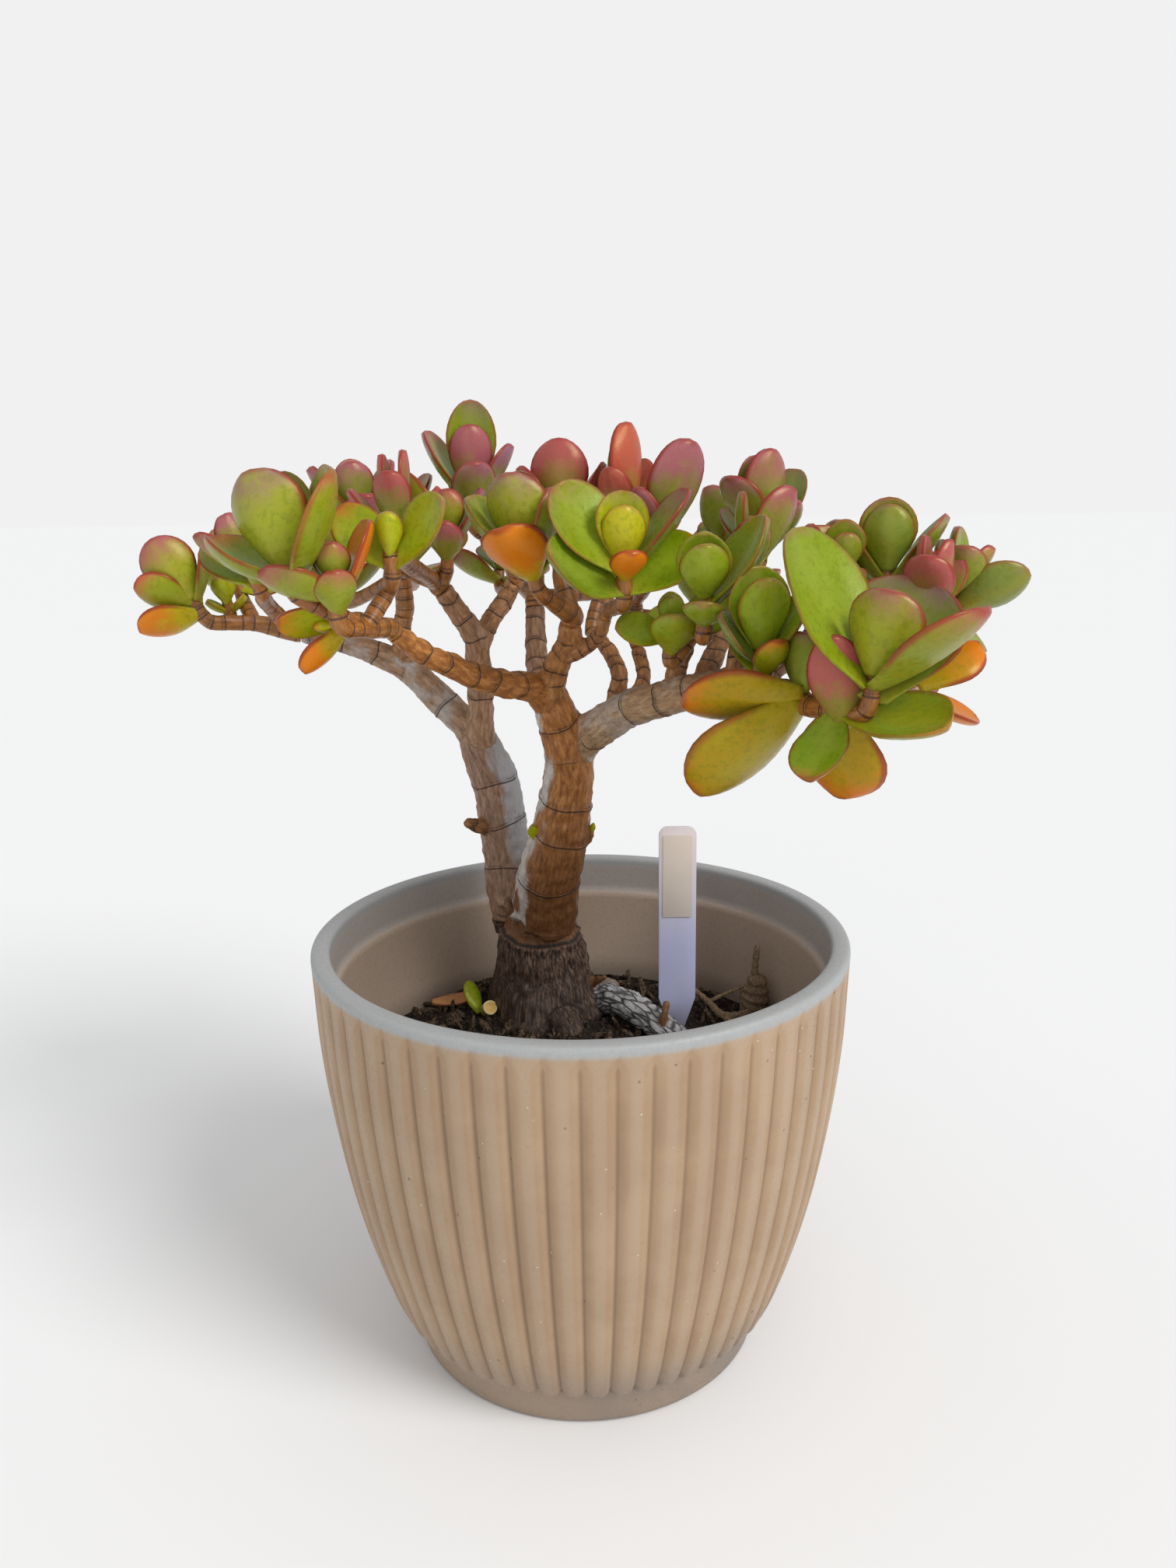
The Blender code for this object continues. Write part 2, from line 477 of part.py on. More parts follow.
def inner_radius(z):
    """Inside radius of the pot, with the step below the lip."""
    if z > POT_HEIGHT - STEP_DROP:
        return min(pot_radius(z), RIM_RADIUS) - LIP_WIDTH
    return pot_radius(z) - LIP_WIDTH - STEP_WIDTH


def flute_depth(z):
    """Depth of the grooves at height z, running out under the lip."""
    return FLUTE_DEPTH * np.clip((FLUTE_HEAD - z) / FLUTE_RUNOUT, 0, 1)


def circle(radius, z, count=FLUTES):
    angles = 2 * np.pi * np.arange(count) / count
    return [(radius * np.sin(a), -radius * np.cos(a), z) for a in angles]


def fluted_ring(z):
    """The points of every flute at height z: a groove and a broad rounded rib."""
    ring = []
    for i in range(FLUTES):
        for share, sunk in FLUTE_SHAPE:
            angle = 2 * np.pi * (i + share) / FLUTES
            radius = pot_radius(z) - flute_depth(z) * sunk
            ring.append((radius * np.sin(angle), -radius * np.cos(angle), z))
    return ring


def turned_shell(rings):
    """A closed shell from rings that hold either one point or several a flute."""
    points = []
    starts = []
    for ring in rings:
        starts.append(len(points))
        points.extend(ring)
    faces = []
    for ring_a, ring_b, a, b in zip(rings[:-1], rings[1:], starts[:-1], starts[1:]):
        na, nb = len(ring_a), len(ring_b)
        if na == nb:
            faces += [(a + j, a + (j + 1) % na, b + (j + 1) % na, b + j) for j in range(na)]
            continue
        fine, coarse = (a, b) if na > nb else (b, a)
        n = max(na, nb)
        per = n // FLUTES
        for i in range(FLUTES):
            p = [fine + (i * per + j) % n for j in range(per + 1)]
            q = (coarse + i, coarse + (i + 1) % FLUTES)
            fan = [(p[j], p[j + 1], q[2 * j // per]) for j in range(per)] + [(p[(per + 1) // 2], q[1], q[0])]
            faces += fan if fine == a else [tuple(reversed(face)) for face in fan]
    first = tuple(range(len(rings[0])))
    last = tuple(starts[-1] + k for k in range(len(rings[-1])))
    faces.append(tuple(reversed(first)))
    faces.append(last)
    return points, faces


def pot():
    top = POT_HEIGHT
    rings = [circle(FOOT_RADIUS - 1.0, 0), circle(FOOT_RADIUS + 0.3, 1.2), circle(BAND_RADIUS, FOOT_BAND)]
    rings += [fluted_ring(z) for z in RIB_ROWS]
    rings += [circle(pot_radius(FLUTE_HEAD), FLUTE_HEAD), circle(RIM_RADIUS, top - 3),
              circle(RIM_RADIUS - 1.6, top),
              circle(RIM_RADIUS - LIP_WIDTH + 1.6, top), circle(RIM_RADIUS - LIP_WIDTH, top - 3),
              circle(inner_radius(top - STEP_DROP + 1), top - STEP_DROP + 1),
              circle(inner_radius(top - STEP_DROP - 1), top - STEP_DROP - 1)]
    for z in (SOIL_EDGE,) + SOIL_ROWS:
        rings.append(circle(inner_radius(z), z))
    points, faces = turned_shell(rings)
    return add_object("pot", points, faces, material("pot"))


def soil_height(x, y, bumps):
    """Height of the soil: level at the wall, heaped at the trunk, uneven all over."""
    away = (x - TRUNK_X) ** 2 + (y - TRUNK_Y) ** 2
    heap = MOUND_HEIGHT * np.exp(-away / MOUND_REACH ** 2)
    rough = sum(np.sin(x * fx + y * fy + ph) for fx, fy, ph in bumps)
    return SOIL_EDGE + heap + SOIL_BUMP * rough / 2


def soil(bumps):
    side = 1.2 * GAP
    rows = [z for z in reversed(SOIL_ROWS)]
    rings = [circle(inner_radius(rows[0]) - side, rows[0] + side)]
    for z in rows[1:]:
        rings.append(circle(inner_radius(z) - side, z))
    for share in SOIL_RINGS:
        ring = []
        for x, y, _ in circle(1.0, 0):
            r = (inner_radius(SOIL_EDGE) - side - 0.4) * share
            ring.append((x * r, y * r, soil_height(x * r, y * r, bumps)))
        rings.append(ring)
    points, faces = turned_shell(rings)
    return add_object("soil", points, faces, material("soil"))


def carve(obj, solids):
    """Cut plain holes in the soil for what stands in it."""
    cutter = fuse("cutter", solids, None)
    apply_boolean(obj, "DIFFERENCE", tool=cutter)
    bpy.data.objects.remove(cutter, do_unlink=True)
    keep_largest(obj)


def wood_paths():
    trunk = smooth_path(TRUNK, 14)
    paths = [trunk]
    for branch in (FRONT_LEG, BACK_LEG, LEFT_BRANCH, CENTRE_BRANCH, CENTRE_TWIG, RIGHT_BRANCH, BACK_TWIG,
                   MIDDLE_TWIG, ROSETTE_TWIG, SIDE_TWIG, INNER_TWIG, FRONT_TWIG, UPPER_RIGHT, RIGHT_TWIG,
                   INNER_STEM, INNER_RIGHT, FAR_LEFT_BRANCH, HIND_TWIG, HIND_STEM, OLD_ROOT, ROOT_STUB,
                   ROOT_SPROUT, FRONT_ROOT, LEFT_ROOT, BASE_BUD, BUD_LEFT):
        paths.append(ringed(smooth_path(branch, WOOD_STEP)))
    return paths


def widened(path, extra):
    """The same path with a larger radius, and longer by as much at both ends."""
    wide = np.array(path)
    wide[:, 3] += extra
    wide[0, :3] += unit(path[0, :3] - path[1, :3]) * extra
    wide[-1, :3] += unit(path[-1, :3] - path[-2, :3]) * extra
    return wide


def wood(paths):
    solids = [tube(paths[0], 12)] + [tube(p, WOOD_SIDES) for p in paths[1:]]
    return fuse("trunk_and_branches", solids, material("bark"))


def leaf_half_width(u):
    """Obovate outline: narrow at the root, widest past the middle, round at the tip."""
    if u < LEAF_WIDEST:
        return LEAF_ROOT_WIDTH + (1 - LEAF_ROOT_WIDTH) * np.sin(0.5 * np.pi * u / LEAF_WIDEST) ** 1.25
    return max(0.0, 1 - ((u - LEAF_WIDEST) / (1 - LEAF_WIDEST)) ** 2.3) ** 0.5


def leaf_solid(leaf, grow=0.0, blade_only=False):
    """Points and faces of one thick leaf, pointed at its root and its tip.

    The section is left edge, upper groove (on deeply cupped leaves), right edge, lower keel.
    """
    root, along, normal, length, width, cup = leaf
    across = np.cross(along, normal)
    place = np.array(root, float)
    last = 0.0
    points = [] if blade_only else [place - along * grow]
    for u in LEAF_STATIONS + (1.0,):
        middle = LEAF_CURL * (u + last) / 2
        place = place + (along * np.cos(middle) + normal * np.sin(middle)) * (u - last) * length
        last = u
        if u == 1.0:
            points.append(place + along * grow)
            continue
        up = normal * np.cos(LEAF_CURL * u) - along * np.sin(LEAF_CURL * u)
        half = 0.5 * width * leaf_half_width(u) + grow
        thick = LEAF_THICKNESS * (0.7 + 0.6 * u - 0.75 * u * u) + 2 * grow
        lift = cup * half
        section = [place - across * half + up * 0.65 * lift, place + up * (0.4 * thick - 0.35 * lift),
                   place + across * half + up * 0.65 * lift, place - up * (0.6 * thick + 0.35 * lift)]
        if cup < DEEP_CUP:
            section.pop(1)
        points += section
    sides = 4 if cup >= DEEP_CUP else 3
    start = 0 if blade_only else 1
    tip = len(points) - 1
    faces = []
    for k in range(sides):
        n = (k + 1) % sides
        if not blade_only:
            faces.append((0, start + n, start + k))
        for row in range(start, tip - sides, sides):
            faces.append((row + k, row + n, row + sides + n, row + sides + k))
        faces.append((tip - sides + k, tip - sides + n, tip))
    if blade_only:
        faces.append(tuple(reversed(range(sides))))
    return points, faces


def tree_of(solid):
    points, faces = solid
    return BVHTree.FromPolygons([Vector(p) for p in points], faces)


def turned(v, axis, angle):
    return (v * np.cos(angle) + np.cross(axis, v) * np.sin(angle)
            + axis * axis.dot(v) * (1 - np.cos(angle)))


def shoot_frame(axis):
    """The shoot's axis, and the directions square to it that face the front and the right."""
    axis = unit(axis)
    front = np.array([0.0, -1.0, 0.0])
    front = unit(front - axis * front.dot(axis))
    return axis, front, np.cross(axis, front)


def leaf_drop(shoot, pair):
    """How far below the tip a pair stands: the pairs move apart as they age."""
    return sum(shoot.get("step", 3.5) * (1 + 0.5 * k) for k in range(pair))


def place_leaf(shoot, pair, side, spec, change, jitter):
    """One leaf of a crosswise pair: its root, direction, upper side, length, width and cup."""
    axis, front, right = shoot_frame(shoot["axis"])
    spread, turn, size = change
    length, opening = spec[0] * size * jitter[0], np.radians(spec[1] + spread + jitter[1])
    twist = np.radians((spec[2] if len(spec) > 2 else 0) + jitter[2])
    heading = np.radians(shoot["roll"] + 90 * pair + 180 * side + turn + jitter[3])
    outward = front * np.cos(heading) + right * np.sin(heading)
    along = axis * np.cos(opening) + outward * np.sin(opening)
    normal = turned(axis * np.sin(opening) - outward * np.cos(opening), along, twist)
    root = np.array(shoot["tip"], float) - axis * leaf_drop(shoot, pair) + outward * ROOT_OFFSET
    width = length * (spec[3] if len(spec) > 3 else shoot["wide"])
    return root, along, normal, length, width, shoot.get("cup", 0.28)


def changes():
    """Ways to bend a leaf clear, the mildest first."""
    ways = [(s, t, z) for s in SPREAD_STEPS for t in TURN_STEPS for z in SIZE_STEPS]
    return sorted(ways, key=lambda w: abs(w[0]) / 6 + abs(w[1]) / 10 + 12 * (1 - w[2]))


def clear_leaf(shoot, pair, side, spec, jitter, others, same_spray):
    """The leaf as it grows, or bent clear of the other sprays, or none where it can't be."""
    for change in changes():
        leaf = place_leaf(shoot, pair, side, spec, change, jitter)
        hull = tree_of(leaf_solid(leaf, grow=LEAF_CLEARANCE))
        if any(hull.overlap(tree) for tree in others):
            continue
        blade = tree_of(leaf_solid(leaf, blade_only=True))
        if any(blade.overlap(tree) for tree in same_spray):
            continue
        return leaf
    return None


def spray_stems(twig, stems):
    """Stem paths of a spray, the first one starting on the twig's cut end."""
    end = smooth_path(twig, 12)
    out = unit(end[-1, :3] - end[-2, :3])
    start_radius = end[-1, 3]
    paths = []
    for shoot, fork, between in stems:
        tip = np.append(np.array(SHOOTS[shoot]["tip"], float), TIP_RADIUS)
        if not paths:
            first = np.append(end[-1, :3] + out * GAP, start_radius)
            second = np.append(end[-1, :3] + out * 4, start_radius)
            heads = [first, second]
        else:
            main = paths[0]
            spot = main[int(round(fork * (len(main) - 1)))]
            heads = [np.append(spot[:3], spot[3] * 0.85)]
        axis = unit(SHOOTS[shoot]["axis"])
        base = tip[:3] - axis * (leaf_drop(SHOOTS[shoot], len(SHOOTS[shoot]["pairs"]) - 1) + LEAFED_MARGIN)
        between = [p for p in between if (base - p).dot(axis) > 6]
        begin = heads[-1][3]
        radii = np.linspace(begin, LEAFED_RADIUS, len(between) + 2)[1:]
        middle = [np.append(p, r) for p, r in zip(between + [base], radii)]
        bud = np.append(tip[:3] + axis * BUD_HEIGHT, TIP_RADIUS * 0.8)
        paths.append(smooth_path(heads + middle + [tip, bud], STEM_STEP))
    return paths


def grow_sprays(wood_tree):
    """Stems and leaves of every spray, each clear of the wood and of the other sprays."""
    rng = np.random.default_rng(SEED)
    stems = {name: spray_stems(twig, parts) for name, (twig, parts) in SPRAYS.items()}
    solids = {name: [tube(path, STEM_SIDES) for path in paths] for name, paths in stems.items()}
    trees = {name: [tree_of(s) for s in parts] for name, parts in solids.items()}
    leaves = {}
    for name, (twig, parts) in SPRAYS.items():
        own = []
        leaves[name] = []
        others = [wood_tree] + [tree for other, group in trees.items() if other != name for tree in group]
        for shoot_name in [p[0] for p in parts] + list(STEMLESS.get(name, ())):
            shoot = SHOOTS[shoot_name]
            for pair, both in enumerate(shoot["pairs"]):
                for side, spec in enumerate(both):
                    jitter = rng.uniform(-1, 1, 4) * LEAF_JITTER + (1, 0, 0, 0)
                    if spec is None:
                        continue
                    leaf = clear_leaf(shoot, pair, side, spec, jitter, others, own)
                    if leaf is None:
                        continue
                    leaves[name].append((shoot_name, pair, side, leaf))
                    own.append(tree_of(leaf_solid(leaf, blade_only=True)))
                    trees[name].append(tree_of(leaf_solid(leaf)))
    return solids, leaves


def sprays(wood_tree):
    solids, leaves = grow_sprays(wood_tree)
    mat = material("leaf")
    objects = []
    for name, stems in solids.items():
        blades = [leaf_solid(leaf) for _, _, _, leaf in leaves[name]]
        objects.append(fuse(name, stems + blades, mat))
    return objects


def label_outline(width, top, tip, corner, point):
    """Front outline of the label: rounded top corners and a pointed foot."""
    half = width / 2
    arc = [(half - corner + corner * np.cos(a), top - corner + corner * np.sin(a))
           for a in np.radians((0, 30, 60, 90))]
    right = [(half, tip + point)] + arc
    left = [(-x, z) for x, z in reversed(arc)] + [(-half, tip + point)]
    return right + left + [(0.0, tip)]


def plate(outline, place, thickness):
    """A flat plate facing -Y, its middle plane through the place."""
    x0, y0 = place
    n = len(outline)
    front = [(x0 + x, y0 - thickness / 2, z) for x, z in outline]
    back = [(x0 + x, y0 + thickness / 2, z) for x, z in outline]
    faces = [tuple(range(n)), tuple(range(2 * n - 1, n - 1, -1))]
    for k in range(n):
        m = (k + 1) % n
        faces.append((k, n + k, n + m, m))
    return front + back, faces


def label():
    outline = label_outline(LABEL_WIDTH, LABEL_TOP, LABEL_TIP, LABEL_CORNER, LABEL_POINT)
    return add_object("plant_label", *plate(outline, LABEL_PLACE, LABEL_THICKNESS), material("label"))


def sticker():
    half = STICKER_SIZE[0] / 2
    low = STICKER_TOP - STICKER_SIZE[1]
    outline = [(half, low), (half, STICKER_TOP - 1), (half - 1, STICKER_TOP), (1 - half, STICKER_TOP),
               (-half, STICKER_TOP - 1), (-half, low)]
    y = LABEL_PLACE[1] - (LABEL_THICKNESS + STICKER_THICKNESS) / 2 - GAP
    return add_object("label_sticker", *plate(outline, (LABEL_PLACE[0], y), STICKER_THICKNESS),
                      material("sticker"))


def rest_on(points, faces, ground):
    """Lower or lift a loose piece until it lies on the soil with the usual gap."""
    points = np.array(points, float)
    samples = [points[list(face)].mean(axis=0) for face in faces] + list(points)
    samples += [(points[face[i]] + points[face[i - 1]]) / 2 for face in faces for i in range(len(face))]
    room = []
    for x, y, z in samples:
        spot = ground.ray_cast(Vector((x, y, POT_HEIGHT)), Vector((0, 0, -1)))[0]
        if spot is not None and spot.z > SOIL_EDGE - 5:
            room.append(z - spot.z)
    points[:, 2] -= min(room) - GAP
    return points, faces


def lying_leaf(spec):
    """A small leaf lying on the soil, or standing up from it by its rise."""
    (x, y), heading, rise, length, width = spec
    turn, lift = np.radians(heading), np.radians(rise)
    level = np.array([np.cos(turn), np.sin(turn), 0.0])
    up = np.array([0.0, 0.0, 1.0])
    along = level * np.cos(lift) + up * np.sin(lift)
    normal = up * np.cos(lift) - level * np.sin(lift)
    root = np.array([x, y, 0.0]) - level * np.cos(lift) * length / 2
    return leaf_solid((root, along, normal, length, width, 0.1))


def litter(ground):
    """What lies on the soil, each piece lowered onto it."""
    pieces = []
    for name, solid, finish in (("fallen_leaf", lying_leaf(FALLEN_LEAF), "dry_leaf"),
                                ("green_leaf_bit", lying_leaf(GREEN_BIT), "cut_leaf"),
                                ("yellow_leaf_bit", lying_leaf(YELLOW_BIT), "dry_leaf"),
                                ("cut_leaf_end", tube(np.array(CUT_END, float), 8), "cut_leaf")):
        pieces.append(add_object(name, *rest_on(*solid, ground), material(finish)))
    solids = [tube(smooth_path(np.array(twig, float), 8), 5) for twig in DRY_TWIGS]
    twigs = fuse("dry_twigs", solids, material("dry_wood"))
    points = [v.co / MM for v in twigs.data.vertices]
    faces = [tuple(f.vertices) for f in twigs.data.polygons]
    points, _ = rest_on(points, faces, ground)
    for vert, place in zip(twigs.data.vertices, points):
        vert.co = Vector(place) * MM
    return pieces + [twigs]


def mesh_tree(obj):
    points = [v.co / MM for v in obj.data.vertices]
    return BVHTree.FromPolygons(points, [tuple(f.vertices) for f in obj.data.polygons])


def build():
    clear_scene()
    rng = np.random.default_rng(SEED)
    bumps = [(*rng.uniform(-0.16, 0.16, 2), rng.uniform(0, 6.28)) for _ in range(6)]
    pot()
    ground = soil(bumps)
    paths = wood_paths()
    tree_wood = wood(paths)
    buried = [tube(widened(path, HOLE_MARGIN), sides)
              for path, sides in zip(paths, [12] + [WOOD_SIDES] * (len(paths) - 1))
              if path[:, 2].min() - path[:, 3].max() < SOIL_EDGE + MOUND_HEIGHT]
    label()
    sticker()
    carve(ground, buried)
    hole = label_outline(LABEL_WIDTH + 2 * GAP, LABEL_TOP, LABEL_TIP - GAP, LABEL_CORNER, LABEL_POINT)
    carve(ground, [plate(hole, LABEL_PLACE, LABEL_THICKNESS + 2 * GAP)])
    litter(mesh_tree(ground))
    sprays(mesh_tree(tree_wood))


build()
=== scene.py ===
"""Looks of the jade bonsai: leaves, bark, fluted pot, soil, label and litter.

Metres, +Z up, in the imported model's frame. Tables are in millimetres.
"""
from collections import namedtuple
import bpy
import bmesh
import numpy as np
from mathutils import Matrix, Vector
from mathutils.bvhtree import BVHTree


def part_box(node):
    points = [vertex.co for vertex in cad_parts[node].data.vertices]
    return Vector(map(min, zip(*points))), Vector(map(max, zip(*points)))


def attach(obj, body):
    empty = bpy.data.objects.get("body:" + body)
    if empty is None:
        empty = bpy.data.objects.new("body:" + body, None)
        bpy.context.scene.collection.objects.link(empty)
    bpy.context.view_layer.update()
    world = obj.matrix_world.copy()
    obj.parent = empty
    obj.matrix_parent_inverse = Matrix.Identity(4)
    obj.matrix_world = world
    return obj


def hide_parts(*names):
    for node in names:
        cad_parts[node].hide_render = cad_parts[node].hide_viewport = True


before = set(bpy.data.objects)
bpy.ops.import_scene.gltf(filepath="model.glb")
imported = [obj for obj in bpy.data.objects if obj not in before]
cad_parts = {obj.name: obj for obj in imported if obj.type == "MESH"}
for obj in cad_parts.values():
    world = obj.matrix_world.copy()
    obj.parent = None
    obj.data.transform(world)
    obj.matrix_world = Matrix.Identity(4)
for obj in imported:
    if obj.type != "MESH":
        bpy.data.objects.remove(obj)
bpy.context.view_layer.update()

MM = 0.001
SEED = 23
GAP = 0.3

# Camera: the photographed view
CAMERA_PLACE = (0.0038, -0.4627, 0.3483)
CAMERA_PITCH = 76.68
CAMERA_ROLL = -0.76
CAMERA_LENS = 27.0
CAMERA_SENSOR = 36.0
CAMERA_REACH = 100.0

# Studio: each light is name, kind, place, aim, size, power and colour
SKY_COLOUR = (.975, .985, 1.0)
SKY_LIGHT = .64
WALL_COLOUR = (.88, .88, .88)
FLOOR_COLOURS = ((.866, .866, .866), (.873, .873, .873))
FLOOR_REACH = 30.0
FLOOR_LEVEL = -.0004
LIGHTS = (
    ("soft_key", "SUN", (.88, -.70, 1.05), (0, 0, .15), 28.0, 2.02, (1.0, .996, .988)),
    ("front_fill", "AREA", (-.35, -1.5, .75), (0, 0, .22), .9, 2.5, (.98, .99, 1.0)),
)

# Pot, turned about Z
POT_HEIGHT = 176.7
RIM_RADIUS = 110.0
LIP_WIDTH = 7.7
STEP_DROP = 17.0
STEP_WIDTH = 1.6
FLOOR_TOP = 9.0
FOOT_RADIUS = 73.4
FOOT_BAND = 16.5
BAND_RADIUS = 78.3
FLUTES = 55
FLUTE_DEPTH = 1.6
FLUTE_HEAD = 171.0
OUTLINE_HEIGHTS = (-18, 0, 14, 27, 47, 72, 102, 137, 170)
OUTLINE_RADII = (52, 72.4, 79.6, 85.6, 92.1, 98.5, 104.0, 108.1, 109.7)
# Points across each flute, and heights of the wall's rows of points: foot band, then ribs
POT_COLUMNS = 8
BAND_ROWS = (4, 8, 12, 15, FOOT_BAND)
RIB_ROWS = (*np.arange(17.2, 26, .9), *np.arange(26.5, 160, 3.0), *np.arange(160.5, 171, 1.2))

# Soil, and the rows of the wall that it fills from the top down
SOIL_ROWS = (60, FLOOR_TOP)
SOIL_EDGE = 116.0
SOIL_COLUMNS = 180
SOIL_RINGS = 46
MOUND_HEIGHT = 5.0
MOUND_REACH = 46.0
SOIL_BUMP = 1.1
TRUNK_X = -17.0
TRUNK_Y = 48.0
# Light and dark colour of the soil and of what is strewn on it
EARTHS = (("dark_soil", (.045, .032, .024), (.012, .009, .007)),
          ("soil_crumb", (.075, .053, .038), (.016, .012, .010)),
          ("bark_chip", (.19, .130, .085), (.034, .023, .016)))
# What is strewn, in metres
CRUMBS = {"Per square metre": 85000.0, "Smallest": .0010, "Largest": .0038, "Sunk": .0001, "Seed": 3}
CHIPS = {"Per square metre": 15000.0, "Smallest": .0018, "Largest": .0070, "Sunk": .0008, "Seed": 8}

# Wood: points are (x, y, z, radius). The last point of a twig is where a leafy spray begins.
WOOD = {
    "trunk": ((-17, 49, 80, 23.5), (-17, 49, 119, 24.5), (-18, 48, 130, 23.2), (-18, 48, 142, 22.2),
        (-19, 46, 155, 21.4), (-19, 45, 164, 19.5)),
    "front_leg": ((-18, 44, 154, 15.8), (-16, 38, 173, 14.8), (-14, 32, 190, 13.8), (-10, 28, 205, 12.9),
        (-6, 23, 226, 11.2), (-4, 19, 242, 10.4), (-6, 14, 256, 9.2), (-10, 8, 270, 8), (-13, 4, 278, 6.6)),
    "back_leg": ((-22, 48, 148, 14.5), (-31, 57, 172, 12.2), (-34, 60, 194, 11.2), (-36, 60, 210, 10.9),
        (-38, 60, 225, 10.7), (-42, 60, 236, 10.2), (-46, 61, 246, 8.6)),
    "left_branch": ((-11, 8, 270, 6.6), (-17, 0, 278, 6), (-27, -15, 282, 5.3), (-37, -28, 287, 4.9),
        (-46, -40, 293, 4.4), (-55, -52, 300, 3.9), (-61, -62, 307, 3.4)),
    "centre_branch": ((-12, 5, 273, 6.3), (-8, -2, 287, 5.1), (-3, -8, 297, 4.6), (-2, -13, 305, 4.2)),
    "centre_twig": ((-6, -4, 290, 3.4), (3, -11, 295, 3), (9, -18, 301, 2.7), (11, -25, 308, 2.5)),
    "right_branch": ((-5, 18, 244, 8.8), (3, 15, 255, 8.3), (15, 0, 266, 7.5), (23, -10, 272, 7.1),
        (32, -20, 276, 6.8), (41, -30, 280, 6.5), (52, -42, 284, 6), (62, -53, 286, 5.5),
        (70, -63, 285, 5)),
    "back_twig": ((14, 1, 268, 4), (17, 8, 282, 3.4), (13, 20, 290, 3.2), (8, 29, 296, 3)),
    "middle_twig": ((24, -11, 274, 3.8), (26, -6, 284, 3), (24, -2, 294, 2.7)),
    "rosette_twig": ((36, -24, 279, 4.4), (39, -24, 292, 3.5), (43, -27, 302, 3)),
    "side_twig": ((46, -35, 282, 4.6), (52, -22, 294, 4), (57, -12, 303, 3.5)),
    "inner_twig": ((57, -47, 285, 4.2), (57, -46, 295, 3.5), (58, -46, 305, 2.9)),
    "front_twig": ((62, -53, 286, 3.8), (64, -60, 292, 3.2)),
    "upper_right": ((62, -53, 286, 4.8), (72, -50, 294, 4.6), (82, -51, 301, 4.4), (89, -54, 306, 4.2)),
    "right_twig": ((50, -40, 284, 4.6), (66, -33, 290, 4.2), (80, -28, 295, 3.8), (88, -27, 299, 3.6)),
    "inner_stem": ((-43, 60, 238, 7.2), (-44, 56, 250, 6.3), (-43, 50, 266, 5.8), (-43, 46, 282, 5.5),
        (-44, 41, 295, 5), (-50, 34, 306, 4.6), (-55, 29, 315, 4.2)),
    "inner_right": ((-43, 44, 289, 4.6), (-37, 48, 301, 4.3), (-31, 52, 309, 4), (-28, 54, 315, 3.7)),
    "far_left_branch": ((-42, 60, 238, 8), (-50, 62, 252, 7.4), (-59, 64, 260, 7), (-68, 66, 269, 6.7),
        (-78, 68, 278, 6), (-94, 68, 286, 5.4), (-110, 64, 292, 4.8), (-122, 61, 295, 4.4)),
    "hind_twig": ((-76, 68, 276, 4.8), (-79, 66, 290, 4.3), (-77, 63, 302, 4)),
    "hind_stem": ((-8, 16, 252, 6.6), (-11, 26, 262, 6.2), (-16, 46, 272, 5.4), (-18, 61, 282, 5),
        (-19, 69, 295, 4.6), (-19, 72, 304, 4.3)),
    "old_root": ((-2, 50, 121, 9), (8, 46, 125, 7), (17, 37, 128, 6.2), (29, 26, 125, 6.4),
        (41, 17, 119, 6), (50, 11, 111, 4)),
    "root_stub": ((2, 54, 123, 7.5), (9, 51, 128, 5.4), (14, 46, 131, 3.8)),
    "root_sprout": ((36, 19, 118, 2.6), (35.5, 17, 127, 2.1), (37, 18, 135, 1.5)),
    "front_root": ((-14, 40, 126, 11), (-7, 26, 121, 7.5), (-1, 16, 115, 4)),
    "left_root": ((-26, 50, 126, 11), (-37, 53, 119, 6.5), (-46, 56, 112, 3.5)),
    "base_bud": ((3, 44, 134, 3), (7, 40, 137, 2), (10, 38, 139, 1.3)),
    "bud_left": ((-41, 57, 206.5, 4.2), (-46, 51, 208, 3.6), (-50, 47.5, 210, 2.6)),
    "ring_bud": ((0, 27, 206, 2.2), (3.6, 26, 208.5, 2.4), (4.8, 25.5, 212.5, 1.5)),
}
# Branches with a domed end
BLUNT = ("trunk", "front_root", "left_root", "base_bud", "bud_left", "root_sprout", "root_stub", "ring_bud")
# Height of the dome as a share of the branch's radius
ROUNDED = 0.75
WOOD_VOXEL = 1.0
WOOD_ROW = 1.5
WOOD_COLUMNS = 24
# How far from a fork the ring scars show in full
FORK_REACH = 2.5
# The fold where the trunk ends, and the height below which its foot spreads
COLLAR_HEIGHT = 161.5
FLARE_TOP = 140
# How bleached, how pink, and how fresh each branch's bark is
BARK_LOOKS = {
    "trunk": (0, 0, .95), "front_leg": (0, 0, .95), "back_leg": (.05, .9, .1), "left_branch": (0, 0, 1),
    "centre_branch": (0, .05, .9), "right_branch": (.25, 0, 0), "far_left_branch": (.3, .45, .1),
    "inner_stem": (.1, .45, .2), "hind_stem": (.05, .75, .2), "old_root": (1, .9, 0),
    "ring_bud": (0, .2, .7), "root_stub": (.5, .2, 0), "front_root": (.3, 0, 0), "left_root": (.3, 0, 0),
    "base_bud": (0, 0, .9), "root_sprout": (0, .1, .8), "bud_left": (0, .1, .8),
}
PLAIN_BARK = (.05, .2, .5)
# Where the plainest rings lie, as millimetres along a branch, and how plain they are on the trunk
RING_PLACES = {
    "front_leg": (16, 37, 60, 77, 100, 115, 129), "back_leg": (22, 42, 64, 84),
    "left_branch": (8, 25, 41, 51, 67, 79, 96), "right_branch": (20, 49, 66, 81, 98, 112),
    "inner_stem": (8, 32, 44, 60, 71, 82), "far_left_branch": (6, 30, 54, 70, 86, 99),
}
TRUNK_RINGS = .15
# Ring scars: least distance, and more for each millimetre of radius
YOUNG_SCARS = (3.0, .85)
OLD_SCARS = (4, 1.35)

